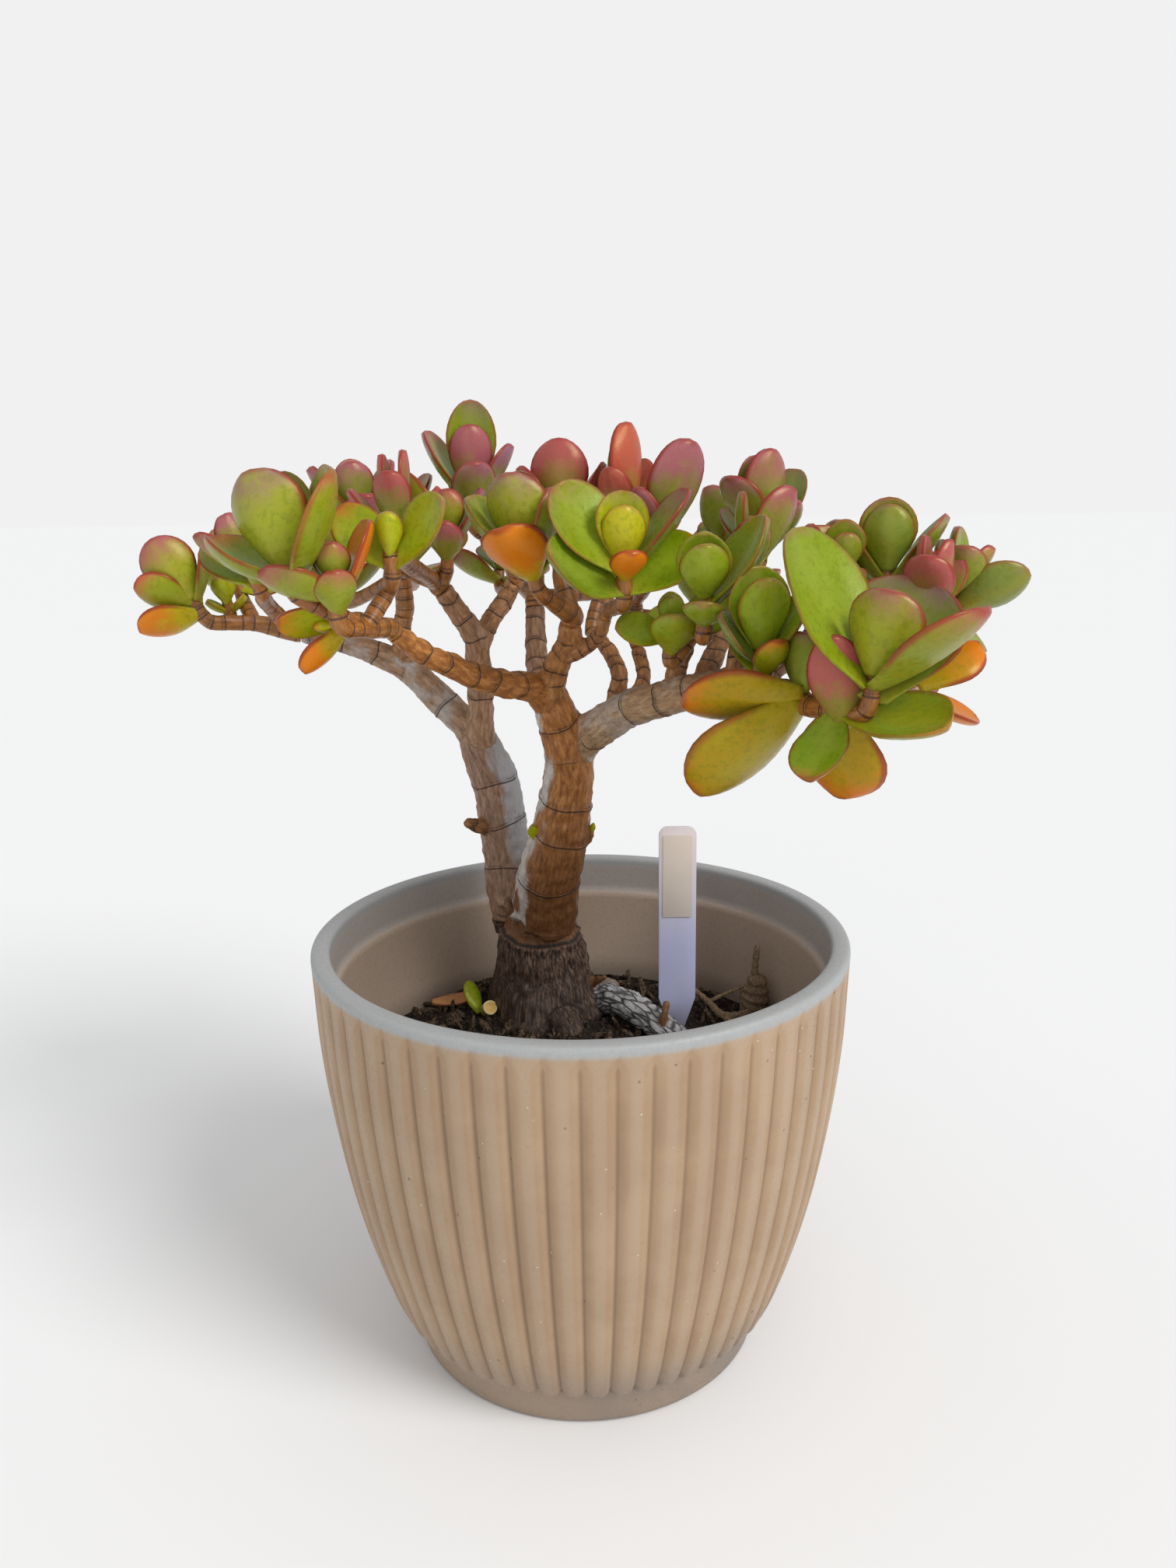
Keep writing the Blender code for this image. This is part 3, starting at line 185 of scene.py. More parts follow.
# Leaves, measured along and across the blade
LEAF_THICKNESS = 4.4
LEAF_ROOT_WIDTH = 0.30
LEAF_WIDEST = 0.60
LEAF_CURL = 0.25
LEAF_STATIONS = (0.28, 0.58, 0.85)
DEEP_CUP = 0.35
LEAF_CLEARANCE = 0.9
ROOT_OFFSET = 0.8
# Chance change of a leaf's length, opening, twist and heading
LEAF_JITTER = (0.05, 3, 9, 6)
# Ways to bend a leaf clear as (opening, turn, size), the mildest first
CHANGES = sorted(((opening, turn, size) for opening in (0, 6, -6, 12, -12, 18, -18, 26)
                  for turn in (0, 10, -10, 20, -20, 32, -32) for size in (1.0, 0.88, 0.76, 0.64)),
                 key=lambda way: abs(way[0]) / 6 + abs(way[1]) / 10 + 12 * (1 - way[2]))
# Fine leaf: stations along it, places across its section from -1 to 1, and its spans of chance
LEAF_ROWS = (0.0, .05, .12, .20, .30, .41, .52, .63, .73, .82, .89, .945, .98)
LEAF_ACROSS = (-1.0, -.94, -.76, -.42, 0.0, .42, .76, .94)
LEAF_TAPER = (.04, .24)
LEAF_SKEW = (-.06, .06)
LEAF_WAVE = (.0, .035)
# How much wider the fine leaves are, then length and width of those in view and of the far side
FULLER = 1.10
SEEN_SIZE = (1.02, 1.0)
HIND_SIZE = (1.08, 1.10)

# A leaf is (length, opening from the shoot's axis) and may add a turn of its blade and its width
# as a share of its length.
# Pairs run from the youngest, at the tip, to the oldest, and each pair stands square to the last.
# A look is the tone from blue-green 0 over grass green .4 to lime .8 and yellow 1, how far the red
# reaches down the leaf, and whether that red is mauve 0, rose .4 or orange 1.
Shoot = namedtuple("Shoot", "tip axis roll wide pairs step cup look", defaults=(3.5, .28, None))
HIND_LOOK = (.52, .38, .2)
OLD_PAIRS = (((20, 12), (20, 12)), ((27, 28), (26, 32)), ((28, 48), (26, 52)), ((24, 70), (24, 72)))
SHOOTS = {
    "far_left": Shoot((-164, 44, 312), (-.5, -.1, .86), 20, .74, (((28, 8), (24, 10)), ((27, 32),
        (25, 44, 45)), ((24, 52), None), ((25, 80, 35), None)), step=1.6, look=(.7, .42, .3)),
    "left_twig": Shoot((-152, 70, 317), (-.3, .1, .95), 0, .64, (((24, 8), (22, 10)), ((22, 105, 40),
        (21, 50, 30))), look=(.75, .3, .3)),
    "left_bud": Shoot((-154, 60, 309), (-.1, -.2, 1), 10, .8, (((13, 18), (12, 18)), ((9, 60), (9, 60))),
        look=(.8, .15, .3)),
    "left_inner": Shoot((-130, 10, 328), (-.4, -.1, 1), 45, .72, OLD_PAIRS[:3], look=(.55, .45, .2)),
    "left_cup": Shoot((-89, -90, 330), (-.25, -.05, 1), -20, .8, (((31, 10), (30, 16)), ((37, 36, 20),
        (31, 54))), cup=.45, look=(.72, .25, 0)),
    "branch_tip": Shoot((-75, -88, 325), (-.05, -.1, 1), -155, .78, (((14, 12), (13, 12)), ((25, 68, 20),
        (25, 10)), ((17, 30), None)), look=(.55, .35, .4)),
    "branch_spur": Shoot((-75, -76, 312), (-.9, -.3, -.1), 90, .64, (((21, 14, 45), (21, 46, 40)),),
        look=(.8, .35, .8)),
    "rosette": Shoot((-59, -76, 334), (0, -.15, 1), 0, .64, (((14, 10), (13, 10)), ((27, 42, 35),
        (26, 44, -35))), look=(.74, .28, .5)),
    "rosette_behind": Shoot((-63, -35, 345), (0, 0, 1), 90, .56, (((22, 14), (22, 14)), ((36, 4, 45),
        (22, 10)), ((24, 45), (24, 45))), look=(.4, .6, .4)),
    "left_high": Shoot((-83, 0, 346), (-.1, 0, 1), 20, .72, (((20, 12), (20, 12)), ((26, 30), (26, 30)),
        ((22, 60), (22, 50))), look=(.4, .55, .2)),
    "inner_tip": Shoot((-51, 15, 337), (.05, 0, 1), 0, .72, (((18, 10), (18, 10)), ((27, 30, 20),
        (32, 14, 20)), ((20, 50), (20, 50))), look=(.62, .5, .4)),
    "crown_top": Shoot((-43, 45, 354), (0, 0, 1), 8, .7, (((26, 10), (36, 8)), ((28, 28), (34, 32)),
        ((28, 45), (26, 40))), look=(.42, .5, .1)),
    "centre_cup": Shoot((-16, -34, 332), (-.2, -.1, 1), -20, .8, (((29, 14), (28, 14)), ((28, 26),
        (31, 22)), ((24, 45), (27, 47))), cup=.4, look=(.7, .3, .1)),
    "red_pair": Shoot((-6, 0, 344), (0, 0, 1), 0, .72, (((28, 8), (28, 12)), ((27, 22), (27, 18)),
        ((24, 40), (24, 45))), look=(.4, .75, .4)),
    "lime_rosette": Shoot((17, -54, 329), (0, -.1, 1), 8, .74, (((20, 10), (24, 10)), ((34, 37),
        (35, 19, -30)), ((24, 35), (16, 55)), ((34, 40, -45), (29, 54, 40))), step=2, look=(.68, .2, .3)),
    "tall_red": Shoot((19, -10, 345), (0, 0, 1), 60, .6, (((33, 4), (26, 12)), ((28, 12), (24, 20)),
        ((24, 40), (24, 45))), look=(.45, .7, .5)),
    "pink_leaner": Shoot((30, -30, 337), (.15, 0, 1), 40, .6, (((35, 20), (26, 12)), ((32, 10), (24, 25))),
        look=(.45, .55, .2)),
    "green_round": Shoot((44, -62, 318), (0, -.05, 1), -10, .8, (((20, 32), (22, 12)), ((34, 14), (28, 30)),
        ((37, 8), (18, 70))), look=(.55, .15, .2)),
    "green_low": Shoot((34, -44, 306), (0, -.2, 1), 0, .74, (((12, 15), (12, 15)), ((26, 72, 30),
        (29, 82, -30)), ((20, 60), (20, 40))), look=(.58, .15, .2)),
    "side_tip": Shoot((72, 5, 339), (0, 0, 1), 40, .7, (((30, 12), (28, 14)), ((32, 18), (28, 20)),
        ((24, 50), (24, 50))), look=(.45, .4, .2)),
    "pink_edge": Shoot((62, -40, 328), (0, 0, 1), 80, .62, (((29, 34, -45), (24, 14)), ((22, 15),
        (20, 20))), look=(.55, .35, .4)),
    "green_cup": Shoot((62, -72, 301), (0, -.1, 1), 20, .76, (((22, 10), (26, 12)), ((24, 30),
        (32, 24, -20)), ((20, 40), (17, 38))), look=(.5, .18, .3)),
    "great_rosette": Shoot((92, -105, 297), (.16, -.2, 1), -28, .66, (((27, 12, 0, .82), (25, 14, 0, .8)),
        ((42, 46, -10), (50, 38, -20, .72)), ((45, 26, 0, .78), None)), look=(.55, .25, .1)),
    "skirt_left": Shoot((76, -76, 287), (.1, -.1, 1), 90, .8, ((None, (26, 30, 40)), (None, None),
        ((38, 104, 40), None), (None, None), (None, (45, 140, 62))), step=.5, look=(.78, .2, .7)),
    "skirt_front": Shoot((84, -92, 285), (.05, -.1, 1), -30, .82, ((None, (28, 60)), ((36, 92, 25), None),
        ((35, 165), (29, 140, 10)), (None, (37, 152, -35))), step=.5, look=(.5, .3, .4)),
    "skirt_red": Shoot((86, -95, 279.5), (-.26, -.32, 1), -20, .6, (((37, 6), None),), step=.5),
    "right_front": Shoot((89, -70, 326), (0, 0, 1), 0, .78, (((13, 25), (27, 10)), ((27, 14), (22, 14)),
        ((30, 30), (16, 55))), look=(.5, .32, .3)),
    "right_mid": Shoot((105, -63, 326), (0, 0, 1), -10, .76, (((21, 8), (24, 10)), ((27, 22), (25, 18)),
        ((34, 6), None)), look=(.5, .25, .2)),
    "right_red": Shoot((115, -80, 316), (.1, 0, 1), 60, .72, (((21, 14), (21, 18)), ((24, 20), (22, 35))),
        look=(.45, .65, .4)),
    "right_end": Shoot((130, -62, 322), (.1, 0, 1), 60, .8, (((15, 38), (18, 12)), ((29, 6), (18, 35)),
        ((24, 30), (26, 36, -40)), (None, (26, 98, 40))), look=(.58, .25, .2)),
    "right_low": Shoot((112, -80, 288), (.8, .2, .25), 90, .72, (((24, 50, 30), (26, 18, 30)),
        ((26, 20, 60), None)), look=(.75, .5, .8)),
    "hind_left": Shoot((-115, 95, 324), (-.4, .3, 1), 10, .72, OLD_PAIRS),
    "hind_left_back": Shoot((-80, 115, 332), (-.1, .4, 1), 50, .72, OLD_PAIRS),
    "hind_left_high": Shoot((-77, 52, 342), (0, 0, 1), 30, .72, OLD_PAIRS[:3]),
    "hind_mid": Shoot((-18, 88, 340), (0, .2, 1), 70, .72, OLD_PAIRS),
    "hind_back": Shoot((-38, 130, 327), (0, .5, 1), 15, .72, OLD_PAIRS),
    "hind_right": Shoot((20, 112, 328), (.1, .5, 1), 85, .72, OLD_PAIRS),
    "back_high": Shoot((25, 50, 342), (0, .1, 1), 40, .72, OLD_PAIRS),
    "side_back": Shoot((66, 44, 332), (.2, .3, 1), 20, .72, OLD_PAIRS),
    "back_corner": Shoot((62, 88, 314), (.4, .6, 1), 60, .72, OLD_PAIRS),
    "side_right": Shoot((102, 8, 318), (.5, .2, 1), 35, .72, OLD_PAIRS),
    "side_low": Shoot((122, -28, 304), (.7, .1, .9), 75, .72, OLD_PAIRS),
}
# Looks of leaves that differ from their shoot's, as (pair, side)
LEAF_LOOKS = {
    "far_left": {(3, 0): (.85, .75, 1), (1, 1): (.6, .36, .55), (1, 0): (.55, .6, .2)},
    "left_cup": {(0, 0): (.74, .3, 0), (1, 0): (.6, .22, .5), (1, 1): (.55, .35, .6)},
    "branch_tip": {(1, 0): (.6, .38, .3), (1, 1): (.8, .85, .9)},
    "branch_spur": {(0, 1): (.9, .75, 1)},
    "rosette": {(1, 1): (.7, .32, .7), (1, 0): (.72, .22, 0), (0, 0): (.8, .12, .6), (0, 1): (.7, .2, .3)},
    "rosette_behind": {(1, 0): (.4, .8, .5)},
    "inner_tip": {(1, 0): (.5, .7, .1), (1, 1): (.65, .45, .5), (2, 1): (.5, .5, .3)},
    "crown_top": {(0, 0): (.45, .8, .25), (0, 1): (.45, .28, 0), (1, 0): (.4, .6, 0),
        (1, 1): (.5, .45, .3)},
    "centre_cup": {(0, 0): (.8, .3, 0), (1, 0): (.5, .3, .1), (1, 1): (.5, .2, .1), (2, 0): (.6, .3, .5),
        (2, 1): (.85, .85, 1)},
    "red_pair": {(1, 0): (.5, .95, .5)},
    # lime_rosette (3, 0) has a dull, darker tone for the shade it stands in: painted shade
    "lime_rosette": {(0, 0): (.88, .1, .5), (0, 1): (.78, .2, .1), (1, 0): (.45, .5, .1),
        (1, 1): (.5, .2, .3), (2, 1): (.85, .85, 1), (3, 0): (.38, .14, .5), (3, 1): (.62, .2, .8)},
    "tall_red": {(0, 0): (.5, .9, .55), (0, 1): (.2, .2, .1)},
    "pink_leaner": {(0, 0): (.5, .6, .2)},
    "green_round": {(0, 0): (.6, .1, .1), (1, 0): (.42, .15, .5), (1, 1): (.5, .2, .5),
        (2, 0): (.05, .2, .1)},
    "side_tip": {(0, 0): (.45, .55, .3), (1, 0): (.15, .25, .1)},
    "pink_edge": {(0, 0): (.55, .5, .3)},
    "green_cup": {(1, 1): (.15, .2, .1), (1, 0): (.55, .22, .5), (0, 0): (.6, .2, .4),
        (2, 1): (.65, .3, .9)},
    "great_rosette": {(1, 0): (.48, .28, .4), (1, 1): (.52, .14, .2), (0, 0): (.72, .3, .2),
        (0, 1): (.66, .25, .2), (2, 0): (.25, .35, 0)},
    "skirt_left": {(0, 1): (.45, .35, .2), (2, 0): (.97, .4, .9), (4, 1): (.97, .22, .8)},
    "skirt_red": {(0, 0): (.45, .85, .4)},
    "skirt_front": {(0, 1): (.5, .15, .5), (1, 0): (.5, .16, .8), (2, 0): (.98, .4, .9),
        (2, 1): (.5, .22, .6), (3, 1): (.64, .28, .6)},
    "right_low": {(0, 0): (.97, .8, 1), (0, 1): (.97, .6, 1), (1, 0): (.6, .8, .4)},
    "right_front": {(0, 1): (.42, .22, .4), (1, 0): (.52, .35, .5)},
    "right_mid": {(0, 0): (.35, .2, .1)},
    "right_end": {(0, 0): (.85, .45, .3), (1, 0): (.5, .18, .3), (2, 1): (.15, .2, .1),
        (3, 1): (.5, .2, .3)},
}
# Leaves that grew out more fully than their neighbours, as shares of length and width
LEAF_SIZES = {
    ("skirt_red", 0, 0): (1.3, 1.15), ("great_rosette", 2, 0): (1.12, 1.25),
    ("great_rosette", 1, 0): (1, 1.22), ("skirt_front", 3, 1): (1.12, 1.08),
    ("skirt_front", 2, 1): (.95, .8), ("green_cup", 0, 0): (1.08, 1.06), ("green_cup", 1, 1): (1.12, 1.05),
    ("right_red", 0, 0): (1.05, .85), ("red_pair", 1, 0): (1.05, .85), ("crown_top", 0, 0): (1.08, .92),
    ("crown_top", 0, 1): (1.05, .78),
}

# Sprays: the twig, and for each stem its shoot, its place on the first stem and points between
SPRAYS = {
    "spray_far_left": ("far_left_branch", (("far_left", 0, ((-141, 55, 300), (-154, 50, 307))),
        ("left_twig", .4, ((-144, 62, 308),)), ("left_bud", .52, ((-148, 59, 306),)), ("left_inner", .12,
        ((-130, 36, 310), (-131, 22, 319))))),
    "spray_left_front": ("left_branch", (("branch_tip", 0, ((-69, -77, 317),)), ("left_cup", .5,
        ((-80, -83, 323),)), ("branch_spur", .28, ((-70, -73, 313),)), ("rosette", .32,
        ((-62, -70, 321),)))),
    "spray_left_middle": ("inner_stem", (("inner_tip", 0, ((-56, 22, 327),)), ("rosette_behind", .35,
        ((-60, 3, 330), (-63, -20, 337))), ("left_high", .25, ((-68, 14, 332), (-78, 5, 338))))),
    "spray_crown_top": ("inner_right", (("crown_top", 0, ((-31, 54, 330), (-40, 48, 342))),)),
    "spray_hind_left": ("hind_twig", (("hind_left_high", 0, ((-76, 57, 320), (-77, 53, 332))), ("hind_left",
        .3, ((-92, 76, 312), (-106, 90, 318))), ("hind_left_back", .3, ((-78, 80, 316), (-80, 103, 324))))),
    "spray_hind": ("hind_stem", (("hind_mid", 0, ((-19, 78, 320), (-18, 86, 332))), ("hind_back", .15,
        ((-27, 96, 312), (-35, 119, 320))), ("hind_right", .2, ((-4, 90, 314), (14, 104, 320))))),
    "spray_centre": ("centre_branch", (("centre_cup", 0, ((-7, -23, 316), (-12, -29, 323))), ("red_pair",
        .18, ((-5, -12, 320), (-6, -3, 332))))),
    "spray_lime": ("centre_twig", (("lime_rosette", 0, ((13, -36, 319), (17, -49, 324))),)),
    "spray_tall_red": ("middle_twig", (("tall_red", 0, ((23, -4, 312), (20, -8, 330))), ("pink_leaner", .35,
        ((26, -17, 318), (29, -26, 328))))),
    "spray_back": ("back_twig", (("back_high", 0, ((10, 40, 310), (21, 48, 327))), ("back_corner", .22,
        ((26, 56, 302), (50, 78, 308))))),
    "spray_green": ("rosette_twig", (("green_round", 0, ((46, -42, 309), (45, -56, 313))), ("green_low", .4,
        ((39, -36, 304),)))),
    "spray_side": ("side_twig", (("side_tip", 0, ((66, -2, 318), (72, 4, 329))), ("side_back", .3,
        ((66, 16, 318), (66, 35, 324))))),
    "spray_pink_edge": ("inner_twig", (("pink_edge", 0, ((61, -43, 319),)),)),
    "spray_green_cup": ("front_twig", (("green_cup", 0, ((64, -68, 297),)),)),
    "spray_upper_right": ("upper_right", (("right_mid", 0, ((100, -60, 316),)), ("right_front", .15,
        ((92, -64, 316),)), ("right_red", .35, ((107, -69, 311),)), ("right_end", .45, ((116, -60, 316),
        (127, -61, 318))))),
    "spray_right_front": ("right_branch", (("great_rosette", 0, ((77, -77, 283), (85, -91, 283),
        (90, -100, 289))), ("right_low", .3, ((94, -80, 285), (104, -81, 286))))),
    "spray_right_side": ("right_twig", (("side_right", 0, ((97, -14, 306), (101, 2, 312))), ("side_low", .2,
        ((106, -26, 300), (116, -28, 301))))),
}
STEMLESS = {"spray_right_front": ("skirt_left", "skirt_front", "skirt_red")}
TIP_RADIUS = 2.4
BUD_HEIGHT = 3.5
LEAFED_RADIUS = 3.0
LEAFED_MARGIN = 4.0
STEM_SIDES = 5
STEM_STEP = 16.0
TWIG_STEP = 12
STEM_START = 4
STEM_CLEAR = 6
FORK_RADIUS = .85
STEM_ROW = 1.1
STEM_COLUMNS = 12
# Small green buds on the front leg's ring: root, direction and length
LEG_BUDS = (((-18.8, 22.0, 209.0), (-.20, -.30, 1), 8.0), ((5.0, 25.5, 211.5), (.25, -.25, 1), 4.0))

# Plant label
LABEL_WIDTH = 16.5
LABEL_THICKNESS = 1.0
LABEL_TOP = 212.0
LABEL_TIP = 108.0
LABEL_POINT = 24.0
LABEL_CORNER = 4.0
LABEL_PLACE = (42.6, 31.0)
STICKER_WIDTH = 13.0
STICKER_THICKNESS = 0.4
STICKER_TOP = LABEL_TOP - 3.8
STICKER_FOOT = LABEL_TOP - 41.5
STICKER_CORNER = 0.8

# Litter on the soil: node, name, (place, heading, rise, length, width), slot, tone and blush
SCRAPS = (("fallen_leaf", "dropped_leaf", ((-60, 57), 5, 0, 23, 12), "dry_leaf", .85, .85),
          ("green_leaf_bit", "green_scrap", ((-51, 45), 130, 50, 16, 8), "cut_leaf", .58, .05),
          ("yellow_leaf_bit", "yellow_scrap", ((70, 22), 165, 15, 12, 8), "dry_leaf", 1.0, .2))
# The cut end: its two end points and radius
CUT_END = ((-44, 40, 0, 3.4), (-42, 34, 4, 3.4))
CUT_SIDES = 24
# Rings of its cut face: share of the radius, and how far it stands out
CUT_FACE = ((.94, .45), (.8, .5), (.55, .1), (.25, -.1))
# Dry twigs and the root ball that carries them: points are (x, y, height, radius)
DRY_TWIGS = (((77, 41, 3, 4.5), (79, 40, 10, 6.5), (80, 40, 18, 4.5)),
             ((52, 45, 12, 1.2), (58, 40, 8, 1.6), (64, 35, 4, 1.8), (73, 34, 5, 1.6), (80, 38, 7, 1.4)),
             ((63, 36, 4, 1.6), (69, 29, 2, 1.3), (75, 24, 1, 1.0)),
             ((58, 41, 8, 1.0), (67, 42, 12, 0.9), (78, 41, 17, 0.8)),
             ((79, 40, 14, 1.8), (79, 41, 24, 1.6), (80, 41, 35, 1.3)))


def unit(v):
    v = np.asarray(v, float)
    return v / np.linalg.norm(v)


def smooth_path(points, step):
    """Points at most a step apart on a smooth curve through the given ones."""
    p = np.asarray(points, float)
    ends = np.vstack([2 * p[0] - p[1], p, 2 * p[-1] - p[-2]])
    path = []
    for a, b, c, d in zip(ends[:-3], ends[1:-2], ends[2:-1], ends[3:]):
        count = max(1, int(np.ceil(np.linalg.norm(c[:3] - b[:3]) / step)))
        for t in np.arange(count) / count:
            path.append(0.5 * (2 * b + (c - a) * t + (2 * a - 5 * b + 4 * c - d) * t * t
                               + (3 * b - a - 3 * c + d) * t ** 3))
    path.append(p[-1])
    return np.array(path)


def arc_length(path):
    return np.append(0, np.cumsum(np.linalg.norm(np.diff(path[:, :3], axis=0), axis=1)))


def around(count):
    """Angles evenly spaced round a circle."""
    return 2 * np.pi * np.arange(count) / count


def branch_frame(path):
    """Direction, first side and second side at every point of a path."""
    side = np.array([0.0, -1.0, 0.0])
    out = []
    for t in np.gradient(path[:, :3], axis=0):
        t = unit(t)
        side = unit(side - t * side.dot(t))
        out.append((t, side, np.cross(t, side)))
    return np.array(out)


def rings_round(path, radii, sides):
    """Points of rings square to a path, with a radius for each ring or for each point."""
    axes, a = branch_frame(path), around(sides)[:, None]
    spokes = axes[:, 1, None] * np.cos(a) + axes[:, 2, None] * np.sin(a)
    return (path[:, None, :3] + spokes * radii.reshape(len(path), -1, 1)).reshape(-1, 3)


def grid_faces(rows, columns):
    """Quads between rings of points."""
    return [(r * columns + c, r * columns + n, (r + 1) * columns + n, (r + 1) * columns + c)
            for r in range(rows - 1) for c, n in zip(range(columns), [*range(1, columns), 0])]


def closed_faces(rows, columns):
    """The first and the last ring's faces, then the quads between."""
    return [tuple(reversed(range(columns))), tuple(range((rows - 1) * columns, rows * columns)),
            *grid_faces(rows, columns)]


def outward_faces(points, faces):
    """Turn a closed shape's faces so that they point out."""
    p = np.asarray(points, float)
    volume = sum(p[face[0]].dot(np.cross(p[face[i]], p[face[i + 1]]))
                 for face in faces for i in range(1, len(face) - 1))
    return faces if volume > 0 else [tuple(reversed(face)) for face in faces]


def tube(path, sides):
    """A closed tube through (x, y, z, radius) points."""
    return rings_round(path, path[:, 3], sides), closed_faces(len(path), sides)


def new_object(name, mesh):
    obj = bpy.data.objects.new(name, mesh)
    bpy.context.scene.collection.objects.link(obj)
    return obj


def set_values(mesh, name, values):
    """Store a number or a vector on every point."""
    wide = np.ndim(values) == 2
    att = mesh.attributes.new(name, "FLOAT_VECTOR" if wide else "FLOAT", "POINT")
    att.data.foreach_set("vector" if wide else "value", np.ascontiguousarray(values, np.float32).ravel())


class Shape:
    """Collects the points, faces and point values of one object's parts."""

    def __init__(self, points=None, faces=None, **values):
        self.points, self.faces, self.slots, self.count, self.values = [], [], [], 0, {}
        if points is not None:
            self.add(points, faces, **values)

    def add(self, points, faces, slot=0, **values):
        self.faces += [tuple(i + self.count for i in face) for face in faces]
        self.slots += [slot] * len(faces)
        for name, value in values.items():
            self.values.setdefault(name, []).append((slice(self.count, self.count + len(points)), value))
        self.points.append(np.asarray(points, float))
        self.count += len(points)

    def build(self, name, *mats):
        mesh = bpy.data.meshes.new(name)
        mesh.from_pydata([tuple(p) for p in np.vstack(self.points) * MM], [], self.faces)
        for mat in mats:
            mesh.materials.append(mat)
        mesh.polygons.foreach_set("material_index", self.slots)
        for key, parts in self.values.items():
            whole = np.zeros((self.count, 3) if np.ndim(parts[0][1]) == 2 else self.count)
            for part, value in parts:
                whole[part] = value
            set_values(mesh, key, whole)
        mesh.shade_smooth()
        return new_object(name, mesh)


def show(obj, slot, *nodes):
    """Let a finished piece ride the body, in place of the nodes that it stands for."""
    if nodes:
        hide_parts(*nodes)
    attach(obj, "root")


def modified(obj, name, kind, **settings):
    """A plain mesh of the object with a modifier worked in."""
    mod = obj.modifiers.new(name, kind)
    for key, value in settings.items():
        if key.startswith("Socket"):
            mod[key] = value
        else:
            setattr(mod, key, value)
    mesh = bpy.data.meshes.new_from_object(obj.evaluated_get(bpy.context.evaluated_depsgraph_get()))
    obj.modifiers.remove(mod)
    return mesh


# ---- leaves and young stems

def leaf_half_width(u):
    """Obovate outline: narrow at the root, widest past the middle, round at the tip."""
    if u < LEAF_WIDEST:
        return LEAF_ROOT_WIDTH + (1 - LEAF_ROOT_WIDTH) * np.sin(0.5 * np.pi * u / LEAF_WIDEST) ** 1.25
    return max(0.0, 1 - ((u - LEAF_WIDEST) / (1 - LEAF_WIDEST)) ** 2.3) ** 0.5


def leaf_spine(leaf, stations):
    """Station, place, upper side, half width and thickness along a curled leaf, tip last."""
    place, along, normal, length, width, _ = leaf
    last = 0.0
    for u in (*stations, 1.0):
        middle = LEAF_CURL * (u + last) / 2
        place = place + (along * np.cos(middle) + normal * np.sin(middle)) * (u - last) * length
        last = u
        yield (u, place, normal * np.cos(LEAF_CURL * u) - along * np.sin(LEAF_CURL * u),
               0.5 * width * leaf_half_width(u), LEAF_THICKNESS * (0.7 + 0.6 * u - 0.75 * u * u))


def leaf_solid(leaf, grow=0.0, blade_only=False):
    """A BVH tree of one plain thick leaf, pointed at its root and its tip, or of its blade alone.

    The section is left edge, upper groove (on deeply cupped leaves), right edge, lower keel.
    """
    root, along, normal, _, _, cup = leaf
    across = np.cross(along, normal)
    points = [] if blade_only else [root - along * grow]
    *stations, tip = leaf_spine(leaf, LEAF_STATIONS)
    for u, place, up, half, thick in stations:
        half, thick = half + grow, thick + 2 * grow
        lift = cup * half
        section = [place - across * half + up * 0.65 * lift, place + up * (0.4 * thick - 0.35 * lift),
                   place + across * half + up * 0.65 * lift, place - up * (0.6 * thick + 0.35 * lift)]
        points += section[:1] + section[2:] if cup < DEEP_CUP else section
    points.append(tip[1] + along * grow)
    sides = 4 if cup >= DEEP_CUP else 3
    start = 0 if blade_only else 1
    end = len(points) - 1
    faces = [tuple(reversed(range(sides)))] if blade_only else []
    for k in range(sides):
        n = (k + 1) % sides
        if not blade_only:
            faces.append((0, start + n, start + k))
        for row in range(start, end - sides, sides):
            faces.append((row + k, row + n, row + sides + n, row + sides + k))
        faces.append((end - sides + k, end - sides + n, end))
    return tree_of(points, faces)


def tree_of(points, faces):
    return BVHTree.FromPolygons([Vector(p) for p in points], faces)


def shoot_frame(axis):
    """The shoot's axis, and the directions square to it that face the front and the right."""
    axis = unit(axis)
    front = np.array([0.0, -1.0, 0.0])
    front = unit(front - axis * front.dot(axis))
    return axis, front, np.cross(axis, front)


def leaf_drop(shoot, pair):
    """How far below the tip a pair stands: the pairs move apart as they age."""
    return sum(shoot.step * (1 + 0.5 * k) for k in range(pair))


def opened(axis, outward, opening):
    """Direction and upper side of a leaf that opens so far from the axis."""
    return (axis * np.cos(opening) + outward * np.sin(opening),
            axis * np.sin(opening) - outward * np.cos(opening))


def place_leaf(shoot, pair, side, spec, change, jitter):
    """One leaf of a crosswise pair: its root, direction, upper side, length, width and cup."""
    axis, front, right = shoot_frame(shoot.axis)
    spread, turn, size = change
    length, opening, twist, wide = (*spec, *(0, 0, 0, shoot.wide)[len(spec):])
    length = length * size * jitter[0]
    heading = np.radians(shoot.roll + 90 * pair + 180 * side + turn + jitter[3])
    outward = front * np.cos(heading) + right * np.sin(heading)
    along, normal = opened(axis, outward, np.radians(opening + spread + jitter[1]))
    twist = np.radians(twist + jitter[2])
    normal = (normal * np.cos(twist) + np.cross(along, normal) * np.sin(twist)
              + along * along.dot(normal) * (1 - np.cos(twist)))
    root = np.array(shoot.tip, float) - axis * leaf_drop(shoot, pair) + outward * ROOT_OFFSET
    return root, along, normal, length, length * wide, shoot.cup


def clear_leaf(shoot, pair, side, spec, jitter, others, same_spray):
    """The leaf as it grows, or bent clear of the other sprays, or none where it can't be."""
    for change in CHANGES:
        leaf = place_leaf(shoot, pair, side, spec, change, jitter)
        hull = leaf_solid(leaf, grow=LEAF_CLEARANCE)
        if any(hull.overlap(tree) for tree in others):
            continue
        blade = leaf_solid(leaf, blade_only=True)
        if not any(blade.overlap(tree) for tree in same_spray):
            return leaf
    return None


